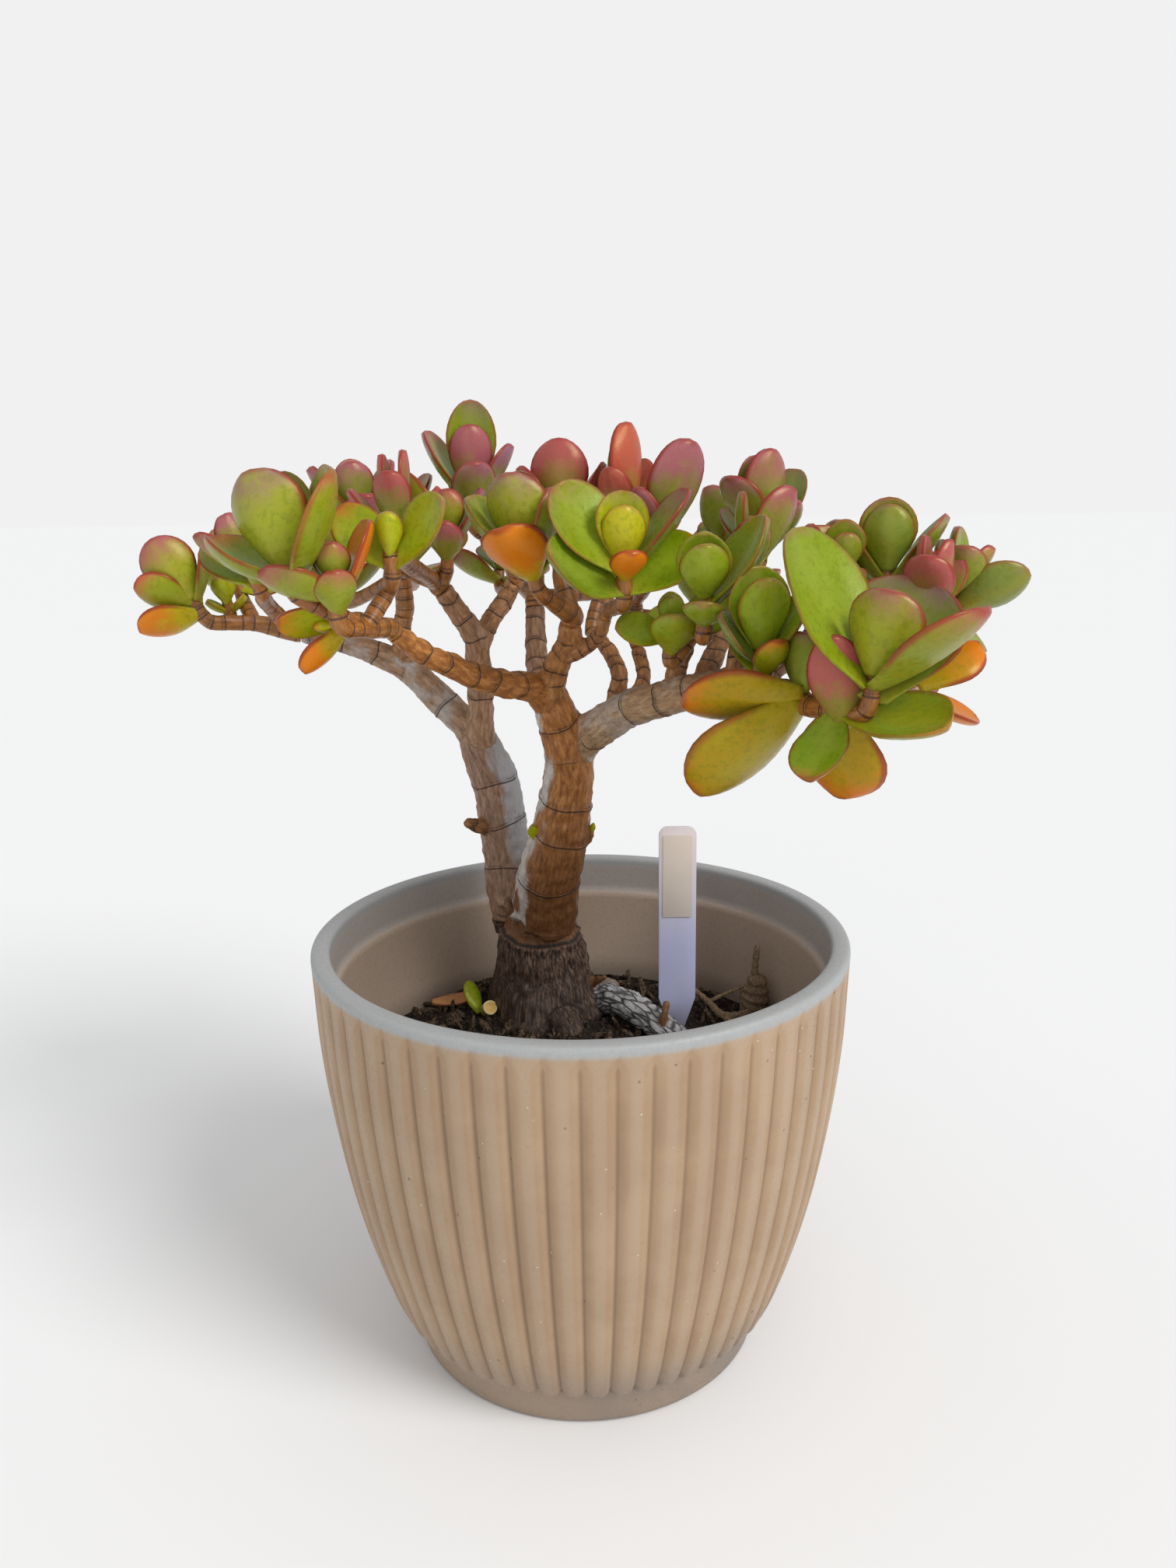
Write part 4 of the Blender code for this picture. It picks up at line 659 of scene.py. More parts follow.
def spray_stems(twig, stems):
    """Stem paths of a spray, the first one starting on the twig's cut end."""
    end = smooth_path(WOOD[twig], TWIG_STEP)
    out = unit(end[-1, :3] - end[-2, :3])
    paths = []
    for name, fork, between in stems:
        shoot = SHOOTS[name]
        tip, axis = np.array(shoot.tip, float), unit(shoot.axis)
        if paths:
            spot = paths[0][int(round(fork * (len(paths[0]) - 1)))]
            heads = [np.append(spot[:3], spot[3] * FORK_RADIUS)]
        else:
            heads = [np.append(end[-1, :3] + out * ahead, end[-1, 3]) for ahead in (GAP, STEM_START)]
        base = tip - axis * (leaf_drop(shoot, len(shoot.pairs) - 1) + LEAFED_MARGIN)
        between = [p for p in between if (base - p).dot(axis) > STEM_CLEAR]
        radii = np.linspace(heads[-1][3], LEAFED_RADIUS, len(between) + 2)[1:]
        middle = [np.append(p, r) for p, r in zip(between + [base], radii)]
        ends = [np.append(tip, TIP_RADIUS), np.append(tip + axis * BUD_HEIGHT, TIP_RADIUS * 0.8)]
        paths.append(smooth_path(heads + middle + ends, STEM_STEP))
    return paths


def grow_sprays(wood_tree):
    """Stems and leaves of every spray, each clear of the wood and of the other sprays."""
    rng = np.random.default_rng(SEED)
    stems = {name: spray_stems(*spray) for name, spray in SPRAYS.items()}
    trees = {name: [tree_of(*tube(path, STEM_SIDES)) for path in paths] for name, paths in stems.items()}
    leaves = {}
    for name, (_, parts) in SPRAYS.items():
        own, leaves[name] = [], []
        others = [wood_tree] + [tree for other, group in trees.items() if other != name for tree in group]
        for shoot in [part[0] for part in parts] + list(STEMLESS.get(name, ())):
            for pair, both in enumerate(SHOOTS[shoot].pairs):
                for side, spec in enumerate(both):
                    jitter = rng.uniform(-1, 1, 4) * LEAF_JITTER + (1, 0, 0, 0)
                    leaf = spec and clear_leaf(SHOOTS[shoot], pair, side, spec, jitter, others, own)
                    if leaf:
                        leaves[name].append((shoot, pair, side, leaf))
                        own.append(leaf_solid(leaf, blade_only=True))
                        trees[name].append(leaf_solid(leaf))
    return stems, leaves


def fine_leaf(leaf, rng):
    """Points, faces and point values of one smooth fleshy leaf."""
    taper, skew = rng.uniform(*LEAF_TAPER), rng.uniform(*LEAF_SKEW)
    wave, phase = rng.uniform(*LEAF_WAVE) * leaf[4], rng.uniform(0, 6.28)
    side, cup = np.cross(leaf[1], leaf[2]), leaf[5]
    sides = [(s, True) for s in LEAF_ACROSS] + [(-s, False) for s in LEAF_ACROSS]
    points, marks = [], []
    *stations, tip = leaf_spine(leaf, LEAF_ROWS)
    for u, place, up, half, thick in stations:
        half *= FULLER * (1 - taper * max(u - .5, 0) ** 1.4 * 2.6)
        for s, top in sides:
            rise = (0.4 if top else -0.6) * thick * (1 - s * s) ** 0.55 + cup * half * (s * s - 0.35)
            rise += wave * s * s * np.sin(phase + 7 * u + (2 if s > 0 else 0))
            points.append(place + side * half * (s + skew * (1 - s * s)) + up * rise)
            marks.append((u, abs(s), 0.0 if top else 1.0))
    points.append(tip[1])
    marks.append((1.0, 0.0, 0.5))
    rows, n = len(LEAF_ROWS), len(sides)
    faces = grid_faces(rows, n)
    faces += [((rows - 1) * n + k, (rows - 1) * n + (k + 1) % n, rows * n) for k in range(n)]
    faces.append(tuple(reversed(range(n))))
    along, across, under = np.array(marks).T
    return (np.array(points), outward_faces(points, faces),
            {"along": along, "across": across, "under": under})


def scar_places(path, arc, rng, young):
    """Where along a branch leaf pairs once grew, closer together on thin young wood."""
    least, growth = YOUNG_SCARS if young else OLD_SCARS
    places = []
    at = rng.uniform(1, 4)
    while at < arc[-1] - 1.5:
        places.append(at)
        at += (least + growth * np.interp(at, arc, path[:, 3])) * rng.uniform(.65, 1.35)
    return np.array(places)


def ring_count(rings, along):
    """How many rings lie below each point, as a growing number, and how far apart they are there."""
    rings = np.sort(rings, axis=1)
    gaps = np.maximum(np.diff(rings, axis=1), .3)
    count = np.clip((along[:, None] - rings[:, :-1]) / gaps, 0, 1).sum(1)
    here = np.clip(count.astype(int), 0, gaps.shape[1] - 1)
    return count, gaps[np.arange(len(gaps)), here]


def young_stem(shape, path, rng):
    """A glossy young stem with close ring scars: a raised lip, then a narrow groove above it."""
    fine = smooth_path(path, STEM_ROW)
    arc, n = arc_length(fine), STEM_COLUMNS
    places = scar_places(fine, arc, rng, True)
    gap = arc[:, None] - places[None]
    lip = np.exp(-(gap / 0.9) ** 2).sum(1)
    groove = np.exp(-((gap - 1.3) / 0.55) ** 2).sum(1)
    turns, apart = ring_count(arc[:, None] * 0 + np.concatenate([[-9], places, [arc[-1] + 9]]), arc)
    r = fine[:, 3] * (1 + 0.05 * np.sin(arc / 5)) + 0.13 * lip - 0.06 * groove
    a, wide = np.tile(around(n), len(fine)), np.repeat(r, n)
    grain = np.stack([np.cos(a) * wide, np.sin(a) * wide, np.repeat(arc, n) * 0.3], 1)
    faces = closed_faces(len(fine), n)
    shape.add(rings_round(fine, r, n), faces, 1, grain=grain * MM, scar=np.clip(np.repeat(groove, n), 0, 1),
              young=1.0, turns=np.repeat(turns, n), apart=np.repeat(apart, n), alone=1.0)


def young_pair(shoot, rng):
    """The small new leaves that stand square to the youngest pair, at the very tip."""
    axis, front, right = shoot_frame(shoot.axis)
    first = next(leaf for both in shoot.pairs for leaf in both if leaf)
    leaves = []
    for side in (0, 1):
        heading = np.radians(shoot.roll - 90 + 180 * side + rng.uniform(-12, 12))
        outward = front * np.cos(heading) + right * np.sin(heading)
        opening = np.radians(rng.uniform(5, 12))
        length = np.clip(first[0] * rng.uniform(.32, .45), 6, 12)
        root = np.array(shoot.tip, float) + axis * 2.2 + outward * .5
        leaves.append((root, *opened(axis, outward, opening), length, length * .5, .3))
    return leaves


def make_sprays(wood_tree, leaf_mat, stem_mat):
    rng = np.random.default_rng(SEED + 1)
    stems, leaves = grow_sprays(wood_tree)
    for name, (_, parts) in SPRAYS.items():
        shape = Shape()
        for shoot, pair, side, (root, along, normal, length, width, cup) in leaves[name]:
            look = SHOOTS[shoot].look
            longer, wider = LEAF_SIZES.get((shoot, pair, side), SEEN_SIZE if look else HIND_SIZE)
            points, faces, marks = fine_leaf((root, along, normal, length * longer, width * wider, cup), rng)
            tone, blush, warmth = LEAF_LOOKS.get(shoot, {}).get((pair, side), look or HIND_LOOK)
            shape.add(points, faces, **marks, tone=np.clip(tone + rng.uniform(-.025, .025), 0, 1),
                      blush=np.clip(blush + rng.uniform(-.06, .06), 0, 1), warmth=warmth,
                      chance=rng.uniform())
        for path in stems[name]:
            young_stem(shape, path, rng)
        for shoot in [SHOOTS[part[0]] for part in parts]:
            tone, blush, warmth = shoot.look or HIND_LOOK
            for leaf in young_pair(shoot, rng):
                points, faces, marks = fine_leaf(leaf, rng)
                shape.add(points, faces, **marks, tone=min(tone + .15, .85), blush=blush * .8,
                          warmth=warmth, chance=rng.uniform())
        show(shape.build(name + "_leaves", leaf_mat, stem_mat), "leaf", name)
    shape = Shape()
    for root, along, length in LEG_BUDS:
        along = unit(along)
        normal = unit(np.cross((1.0, 0, 0), along))
        points, faces, marks = fine_leaf((root, along, normal, length, length * .62, 0.0), rng)
        shape.add(points, faces, along=marks["along"], across=marks["across"] * .5, under=0.0, tone=.80,
                  blush=.0, warmth=.5, chance=.5)
    show(shape.build("leg_buds", leaf_mat), "leaf")


# ---- wood

def waves(points, size, seed, count=9):
    """Soft random unevenness between -1 and 1, about so many millimetres from hump to hump."""
    rng = np.random.default_rng(seed)
    total = np.zeros(len(points))
    for _ in range(count):
        way = unit(rng.normal(size=3)) * 2 * np.pi / size * rng.uniform(.6, 1.5)
        total += np.sin(points @ way + rng.uniform(0, 6.28))
    return total / np.sqrt(count) * 0.8


def rounded_end(path):
    """Close a blunt branch with a dome."""
    out, r = unit(path[-1, :3] - path[-2, :3]), path[-1, 3]
    dome = [np.append(path[-1, :3] + out * r * ROUNDED * np.sin(a), max(r * np.cos(a), 0.15))
            for a in np.radians((20, 40, 60, 75, 86))]
    return np.vstack([path, dome])


def nearest_branch(points, paths):
    """For every point: its branch, the nearest place on it, and how far it is from a fork."""
    best, second = np.full((2, len(points)), 1e9)
    owner, spot = np.zeros((2, len(points)), int)
    for k, path in enumerate(paths):
        for start in range(0, len(points), 8000):
            part = slice(start, start + 8000)
            away = np.linalg.norm(points[part, None] - path[None, :, :3], axis=2)
            near = away.argmin(axis=1)
            depth = away[np.arange(len(near)), near] - path[near, 3]
            closer = depth < best[part]
            second[part] = np.where(closer, best[part], np.minimum(second[part], depth))
            for whole, value in ((best, depth), (owner, k), (spot, near)):
                whole[part] = np.where(closer, value, whole[part])
    return owner, spot, np.clip((second - best) / FORK_REACH, 0, 1)


def read_points(mesh, name):
    values = np.empty(len(mesh.vertices) * 3, np.float32)
    mesh.vertices.foreach_get(name, values)
    return values.reshape(-1, 3).astype(float)


def fine_wood(bark):
    rng = np.random.default_rng(SEED + 2)
    paths = {name: smooth_path(path, WOOD_ROW) for name, path in WOOD.items()}
    paths = {name: rounded_end(path) if name in BLUNT else path for name, path in paths.items()}
    rough = Shape()
    for path in paths.values():
        rough.add(*tube(path, WOOD_COLUMNS))
    obj = rough.build("bark_body", bark)
    mesh = modified(obj, "skin", "REMESH", mode="VOXEL", voxel_size=WOOD_VOXEL * MM)
    points, normals = read_points(mesh, "co") / MM, read_points(mesh, "normal")
    owner, spot, alone = nearest_branch(points, list(paths.values()))
    push = 0.35 * waves(points, 9, 1) + 0.18 * waves(points, 3.5, 2)
    count = len(points)
    grain, apart = np.zeros((count, 3)), np.ones(count)
    scar, young, grey, pink, side, turns = np.zeros((6, count))
    for k, (name, path) in enumerate(paths.items()):
        mine = np.nonzero(owner == k)[0]
        if not len(mine):
            continue
        axes, arc, near = branch_frame(path), arc_length(path), spot[mine]
        off, r = points[mine] - path[near, :3], path[near, 3]
        ahead, a, b = ((off * axes[near, i]).sum(1) for i in range(3))
        along, angle = arc[near] + ahead, np.arctan2(b, a)
        side[mine] = off[:, 0] / np.maximum(r, 1)
        grain[mine] = np.stack([a, b, along * 0.28], 1)
        grey[mine], pink[mine], fresh = BARK_LOOKS.get(name, PLAIN_BARK)
        young[mine] = np.clip((7.5 - r) / 4.5, 0, 1) * .8 + fresh * .2 if fresh < .8 else fresh
        places = scar_places(path, arc, rng, r.mean() < 5)
        places = np.array(RING_PLACES.get(name, places if len(places) else (arc[-1] / 2,)), float)
        tilt = rng.uniform(-.5, .5, len(places)) * np.minimum(np.interp(places, arc, path[:, 3]), 8) * .5
        turn = rng.uniform(0, 6.28, len(places))
        strength = rng.uniform(.45, 1.0, len(places)) * (TRUNK_RINGS if name == "trunk" else 1.0)
        ends = np.concatenate([[places[0] - 30], places, [places[-1] + 30]])
        leans, phases = np.pad(tilt, 1), np.pad(turn, 1)
        rings = ends + leans * np.sin(angle[:, None] + phases) + .5 * np.sin(3 * angle[:, None] + phases)
        turns[mine], apart[mine] = ring_count(rings, along)
        wide = np.clip(r * .08, .40, .9)
        for at, lean, phase, power in zip(places, tilt, turn, strength):
            gap = along - at - lean * np.sin(angle + phase) - .5 * np.sin(3 * angle + phase)
            lip = np.exp(-(gap / (1.6 * wide)) ** 2)
            cut = np.exp(-((gap - 1.9 * wide) / wide) ** 2)
            push[mine] += alone[mine] * power * np.clip(r * .035, .15, .42) * (lip - .8 * cut)
            scar[mine] = np.maximum(scar[mine], power * cut * alone[mine])
    names = list(paths)
    trunk, front, back, old, front_root, left_root = (
        owner == names.index(name)
        for name in ("trunk", "front_leg", "back_leg", "old_root", "front_root", "left_root"))
    height = points[:, 2]
    turn = np.arctan2(points[:, 1] - TRUNK_Y, points[:, 0] - TRUNK_X)
    collar = COLLAR_HEIGHT + 3.0 * np.sin(turn) - 1.5 * np.cos(turn) + .5 * np.sin(4 * turn)
    fold = np.clip(height - collar, -30, 90)
    push -= trunk * 2.4 * np.clip((height - 132) / 24, 0, 1)
    push -= trunk * 2.0 * np.clip(fold / 2.5, 0, 1)
    push += (trunk | front) * (.8 * np.exp(-((fold + 1.6) / 1.3) ** 2) - .8 * np.exp(-(fold / .9) ** 2))
    flare = np.clip((FLARE_TOP - height) / 18, 0, 1) ** 1.6
    push += trunk * flare * (3.6 + 1.6 * np.cos(4 * turn + .8) + 1.0 * np.cos(7 * turn))
    push += trunk * (0.6 * waves(points * (1, 1, .3), 8, 3) + .5 * waves(points * (1, 1, .15), 3.5, 7))
    push += old * (.6 * waves(points, 5, 4) + .4 * waves(points, 2.5, 9))
    patchy = np.clip(.75 + .7 * waves(points * (1, 1, .5), 12, 11), .1, 1)
    # Silvery bark on the front leg's edges and the back leg's right side: partly the bark's own grey, partly
    # a painted highlight
    grey += front * patchy * (np.clip(-side - .48, 0, .35) * 3.2 + np.clip(side - .86, 0, .2) * 3)
    grey = np.clip(grey + back * np.clip(side - .02, 0, .6) * 1.5, 0, 1)
    low = np.clip(-fold / 1.5, 0, 1) * (trunk | front_root | left_root | front | back)
    points += normals * push[:, None]
    mesh.vertices.foreach_set("co", (points * MM).astype(np.float32).ravel())
    for key, value in (("cracked", old), ("scar", scar * ~trunk), ("grain", grain * MM), ("young", young),
                       ("grey", grey), ("pink", pink), ("low", low), ("turns", turns), ("apart", apart),
                       ("alone", alone * ~(trunk | (fold < 4))), ("fold", fold)):
        set_values(mesh, key, value)
    mesh.materials.clear()
    mesh.materials.append(bark)
    mesh.shade_smooth()
    mesh.name = "bark_body"
    obj.data = mesh
    show(obj, "bark", "trunk_and_branches")


# ---- pot

def pot_radius(z):
    """Outside radius of the plain pot at height z, on a smooth curve."""
    heights, radii = np.array(OUTLINE_HEIGHTS, float), np.array(OUTLINE_RADII, float)
    slopes = np.gradient(radii, heights)
    i = int(np.clip(np.searchsorted(heights, z) - 1, 0, len(heights) - 2))
    span = heights[i + 1] - heights[i]
    t = np.clip((z - heights[i]) / span, 0, 1)
    return ((2 * t ** 3 - 3 * t ** 2 + 1) * radii[i] + (t ** 3 - 2 * t ** 2 + t) * span * slopes[i]
            + (3 * t ** 2 - 2 * t ** 3) * radii[i + 1] + (t ** 3 - t ** 2) * span * slopes[i + 1])


def inner_radius(z):
    """Inside radius of the pot, with the step below the lip."""
    if z > POT_HEIGHT - STEP_DROP:
        return min(pot_radius(z), RIM_RADIUS) - LIP_WIDTH
    return pot_radius(z) - LIP_WIDTH - STEP_WIDTH


def rib_radius(z, d):
    """Radius where the groove is a share d of a flute away: a rounded rib with rounded ends."""
    swell = np.sqrt(np.clip(1 - (1 - 2 * d) ** 2, 0, 1)) ** .9
    head = np.clip((FLUTE_HEAD + 2.2 - z) / 3, 0, 1)
    head = head * head * (3 - 2 * head) * (.45 + .55 * np.clip((FLUTE_HEAD - z) / 32, 0, 1))
    rib = pot_radius(z) - FLUTE_DEPTH * 1.1 * (1 - swell) * head + 0.15 * swell * head
    end = FOOT_BAND + .6 + 3.5 * (1 - swell)
    rise = np.clip((z - end) / 2.6, 0, 1)
    rise = np.sqrt(1 - (1 - rise) ** 2)
    band = BAND_RADIUS + (z - FOOT_BAND) * .12
    return band + (rib - band) * rise, 1 - swell


def fine_pot(ceramic):
    count = FLUTES * POT_COLUMNS
    share = (np.arange(count) / POT_COLUMNS) % 1
    d = np.minimum(share, 1 - share)
    angle = around(count)
    wobble = .12 * np.sin(angle * 3 + 1) + .08 * np.sin(angle * 7)
    step, foot = POT_HEIGHT - STEP_DROP, FOOT_RADIUS + .3
    # Rows from the foot, over the lip, to the inner floor: radius, height, groove, inside
    rows = [(r, z, 0, 0) for z, r in ((0, FOOT_RADIUS - 2.0), (.35, FOOT_RADIUS - .6), (1.2, foot))]
    for z in BAND_ROWS:
        rows.append((foot + (BAND_RADIUS - FOOT_RADIUS - .3) * (z - 1.2) / (FOOT_BAND - 1.2), z, 0, 0))
    for z in RIB_ROWS:
        radius, groove = rib_radius(z, d)
        groove = groove * np.clip((z - 18) / 4, 0, 1) * np.clip((171 - z) / 4, 0, 1)
        rows.append((radius + wobble, z, groove, 0))
    for a in np.radians(np.arange(0, 181, 18)):
        flat = LIP_WIDTH / 2 * np.sign(np.cos(a)) * abs(np.cos(a)) ** .55
        z = POT_HEIGHT - 2.6 + 2.6 * np.sin(a) ** .8
        rows.append((RIM_RADIUS - LIP_WIDTH / 2 + flat + wobble, z, 0, .5))
    for z in np.arange(POT_HEIGHT - 5, step + 1, -2.2):
        rows.append((inner_radius(z) + wobble, z, 0, 1))
    for t in (0, .5, 1):
        radius = inner_radius(step + 1) * (1 - t) + inner_radius(step - 1) * t
        rows.append((radius + wobble, step + .8 - 1.6 * t, 0, 1))
    for z in (*np.arange(step - 3, SOIL_EDGE - 4, -3.0), 90, 40, FLOOR_TOP):
        rows.append((inner_radius(z) + wobble, z, 0, 1))
    r, z, groove, inside = (
        np.concatenate([np.broadcast_to(row[i], count) for row in rows]) for i in range(4))
    angle = np.tile(angle, len(rows))
    points = np.stack([r * np.sin(angle), -r * np.cos(angle), z], 1)
    faces = outward_faces(points, closed_faces(len(rows), count))
    show(Shape(points, faces, groove=groove, inside=inside).build("fluted_pot", ceramic), "pot", "pot")


# ---- soil

def soil_height(x, y, bumps):
    """Height of the soil: level at the wall, heaped at the trunk, uneven all over."""
    away = (x - TRUNK_X) ** 2 + (y - TRUNK_Y) ** 2
    heap = MOUND_HEIGHT * np.exp(-away / MOUND_REACH ** 2)
    rough = sum(np.sin(x * fx + y * fy + ph) for fx, fy, ph in bumps)
    return SOIL_EDGE + heap + SOIL_BUMP * rough / 2


def fine_soil(earth):
    """The soil's body. Returns its points and its top faces."""
    rng = np.random.default_rng(SEED)
    bumps = [(*rng.uniform(-0.16, 0.16, 2), rng.uniform(0, 6.28)) for _ in range(6)]
    side = 1.2 * GAP
    outer = inner_radius(SOIL_EDGE) - side - .4
    columns, angle = SOIL_COLUMNS, around(SOIL_COLUMNS)
    ring = np.stack([np.sin(angle), -np.cos(angle), np.zeros(columns)], 1)
    rows = [ring * (inner_radius(z) - side) + (0, 0, z) for z in SOIL_ROWS[::-1]]
    for share in 1 - np.linspace(0, 1, SOIL_RINGS) * .985:
        flat = ring * (outer * share)
        z = soil_height(flat[:, 0], flat[:, 1], bumps)
        z += (.9 * waves(flat, 13, 5) + .55 * waves(flat, 5, 6)) * min(1, (1 - share) * 12 + .15)
        rows.append(flat + z[:, None] * (0, 0, 1))
    points = np.concatenate(rows)
    faces = outward_faces(points, closed_faces(len(rows), columns))
    show(Shape(points, faces).build("potting_soil", earth), "soil", "soil")
    return points, closed_faces(len(rows), columns)[2 + 3 * columns:]


def crumb_shape(name, stretch, mat, seed):
    """One rough crumb of twenty faces, to be repeated."""
    rng = np.random.default_rng(seed)
    bm = bmesh.new()
    bmesh.ops.create_icosphere(bm, subdivisions=1, radius=0.5)
    for vert in bm.verts:
        vert.co = Vector(np.array(vert.co) * stretch * rng.uniform(.7, 1.2))
    mesh = bpy.data.meshes.new(name)
    bm.to_mesh(mesh)
    bm.free()
    mesh.materials.append(mat)
    return new_object(name, mesh)


def new_group(name, kind, inputs, outputs):
    """A node group with named sockets: its tree, where its inputs come in and its outputs go."""
    tree = bpy.data.node_groups.new(name, kind)
    for way, sockets in (("INPUT", inputs), ("OUTPUT", outputs)):
        for label, socket in sockets.items():
            tree.interface.new_socket(label, in_out=way, socket_type="NodeSocket" + socket)
    return tree, tree.nodes.new("NodeGroupInput").outputs, tree.nodes.new("NodeGroupOutput").inputs


def scatter_tree(crumb, mat):
    """Geometry Nodes: one crumb shape strewn over a surface, turned and sized by chance."""
    tree, given, result = new_group(
        "strewn_" + crumb.name, "GeometryNodeTree",
        {"Geometry": "Geometry", "Per square metre": "Float", "Smallest": "Float", "Largest": "Float",
         "Sunk": "Float", "Seed": "Int"}, {"Geometry": "Geometry"})
    seed = given["Seed"]
    strewn = add(tree, "GeometryNodeDistributePointsOnFaces",
                 {"Mesh": given["Geometry"], "Density": given["Per square metre"], "Seed": seed})
    sink = add(tree, "ShaderNodeCombineXYZ", {"Z": given["Sunk"]})
    place = add(tree, "GeometryNodeSetPosition",
                {"Geometry": strewn.outputs["Points"], "Offset": sink.outputs[0]})
    source = add(tree, "GeometryNodeObjectInfo", {"Object": crumb})
    turn = add(tree, "FunctionNodeRandomValue", {"Max": (6.28, 6.28, 6.28)}, data_type="FLOAT_VECTOR")
    plug(seed, turn.inputs["Seed"])
    size = add(tree, "FunctionNodeRandomValue", {2: given["Smallest"], 3: given["Largest"], "Seed": seed},
               data_type="FLOAT")
    copy = add(tree, "GeometryNodeInstanceOnPoints",
               {"Points": place.outputs[0], "Instance": source.outputs["Geometry"],
                "Rotation": turn.outputs[0], "Scale": size.outputs[1]})
    real = add(tree, "GeometryNodeRealizeInstances", {"Geometry": copy.outputs[0]})
    paint = add(tree, "GeometryNodeSetMaterial", {"Geometry": real.outputs[0], "Material": mat})
    tree.links.new(paint.outputs[0], result["Geometry"])
    return tree


def strew(name, ground, crumb, mat, amounts):
    """Strew a crumb over the ground and keep the result as one plain mesh."""
    obj = Shape(*ground).build(name, mat)
    tree = scatter_tree(crumb, mat)
    given = {item.identifier: amounts[item.name] for item in tree.interface.items_tree
             if item.name in amounts}
    obj.data = modified(obj, "strewn", "NODES", node_group=tree, **given)
    obj.data.shade_flat()
    bpy.data.objects.remove(crumb, do_unlink=True)
    show(obj, "soil")


# ---- label and litter

def flat_piece(name, mat, slot, node, outline, place, thickness, bevel):
    """A flat plate facing -Y, its middle plane through the place, with softened edges."""
    n, (x0, y0) = len(outline), place
    points = [(x0 + x, y0 + side * thickness / 2, z) for side in (-1, 1) for x, z in outline]
    faces = [tuple(range(n)), tuple(range(2 * n - 1, n - 1, -1))]
    faces += [(k, n + k, n + m, m) for k, m in zip(range(n), [*range(1, n), 0])]
    obj = Shape(points, outward_faces(points, faces)).build(name, mat)
    obj.data = modified(obj, "edge", "BEVEL", width=bevel * MM, segments=2, limit_method="ANGLE",
                        angle_limit=np.radians(50))
    show(obj, slot, node)


def mirrored(right):
    return right + [(-x, z) for x, z in reversed(right)]


def corner(half, z, radius, degrees, way=1):
    """A rounded corner on the right, at the top, or at the foot where the way is -1."""
    return [(half - radius + radius * np.cos(a), z - way * radius + way * radius * np.sin(a))
            for a in np.radians(degrees)]


def fine_label(plastic, paper):
    half = LABEL_WIDTH / 2
    right = [(half, LABEL_TIP + LABEL_POINT), *corner(half, LABEL_TOP, LABEL_CORNER, range(0, 91, 10))]
    flat_piece("pointed_label", plastic, "label", "plant_label", mirrored(right) + [(0.0, LABEL_TIP)],
               LABEL_PLACE, LABEL_THICKNESS, .22)
    half = STICKER_WIDTH / 2
    right = corner(half, STICKER_FOOT, STICKER_CORNER, (90, 45, 0), -1)
    right += corner(half, STICKER_TOP, STICKER_CORNER, (0, 45, 90))
    y = LABEL_PLACE[1] - (LABEL_THICKNESS + STICKER_THICKNESS) / 2 - GAP * .5
    flat_piece("bare_sticker", paper, "sticker", "label_sticker", mirrored(right), (LABEL_PLACE[0], y),
               STICKER_THICKNESS, .12)


def lying(spec):
    """A fallen leaf's root, direction, upper side, length, width and cup."""
    (x, y), heading, rise, length, width = spec
    turn, lift = np.radians(heading), np.radians(rise)
    level, up = np.array([np.cos(turn), np.sin(turn), 0.0]), np.array([0.0, 0.0, 1.0])
    root = np.array([x, y, 0.0]) - level * np.cos(lift) * length / 2
    return (root, level * np.cos(lift) + up * np.sin(lift), up * np.cos(lift) - level * np.sin(lift),
            length, width, 0.1)


def drop_to(node, points):
    """Lower a loose piece to where its CAD node lies."""
    return points + (0, 0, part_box(node)[0].z / MM - points[:, 2].min())


def fine_litter(leaf_mat, cut_mat, twig_mat):
    rng = np.random.default_rng(SEED + 5)
    for node, name, spec, slot, tone, blush in SCRAPS:
        points, faces, marks = fine_leaf(lying(spec), rng)
        shape = Shape(drop_to(node, points), faces, **marks, tone=tone, blush=blush, warmth=.6,
                      faded=float(node == "fallen_leaf"), chance=rng.uniform())
        show(shape.build(name, leaf_mat), slot, node)
    n, path = CUT_SIDES, smooth_path(CUT_END, .8)
    cut = [rings_round(path, path[:, 3:] * (.97 + .03 * np.sin(3 * around(n))), n)]
    rim = [np.ones(len(path) * n)]
    out, side, across = branch_frame(path)[-1]
    a = around(n)[:, None]
    for share, bulge in CUT_FACE:
        cut.append(path[-1, :3] + out * bulge + (side * np.cos(a) + across * np.sin(a)) * path[-1, 3] * share)
        rim.append(np.full(n, share if share > .9 else share * .5))
    points = np.concatenate(cut)
    faces = outward_faces(points, closed_faces(len(path) + len(CUT_FACE), n))
    shape = Shape(drop_to("cut_leaf_end", points), faces, rim=np.concatenate(rim))
    show(shape.build("cut_stem_end", cut_mat), "cut_leaf", "cut_leaf_end")
    shape = Shape()
    for twig in DRY_TWIGS:
        path = smooth_path(twig, 1.0)
        path[:, 3] *= 1 + .12 * np.sin(arc_length(path) * 1.7)
        shape.add(*tube(rounded_end(path), 10))
    shape.points = [drop_to("dry_twigs", np.vstack(shape.points))]
    show(shape.build("dry_twig_heap", twig_mat), "dry_wood", "dry_twigs")


# ---- finishes

class Wire:
    """A node's output as part of a formula: each sign adds the node that works it out."""

    def __init__(self, socket):
        self.socket = socket

    def __add__(self, other):
        return maths("ADD", self, other)

    def __sub__(self, other):
        return maths("SUBTRACT", self, other)

    def __rsub__(self, other):
        return maths("SUBTRACT", other, self)

    def __mul__(self, other):
        return maths("MULTIPLY", self, other)

    def __rtruediv__(self, other):
        return maths("DIVIDE", other, self)

    def __pow__(self, other):
        return maths("POWER", self, other)

    def __abs__(self):
        return maths("ABSOLUTE", self)

    def __lt__(self, other):
        return maths("LESS_THAN", self, other)


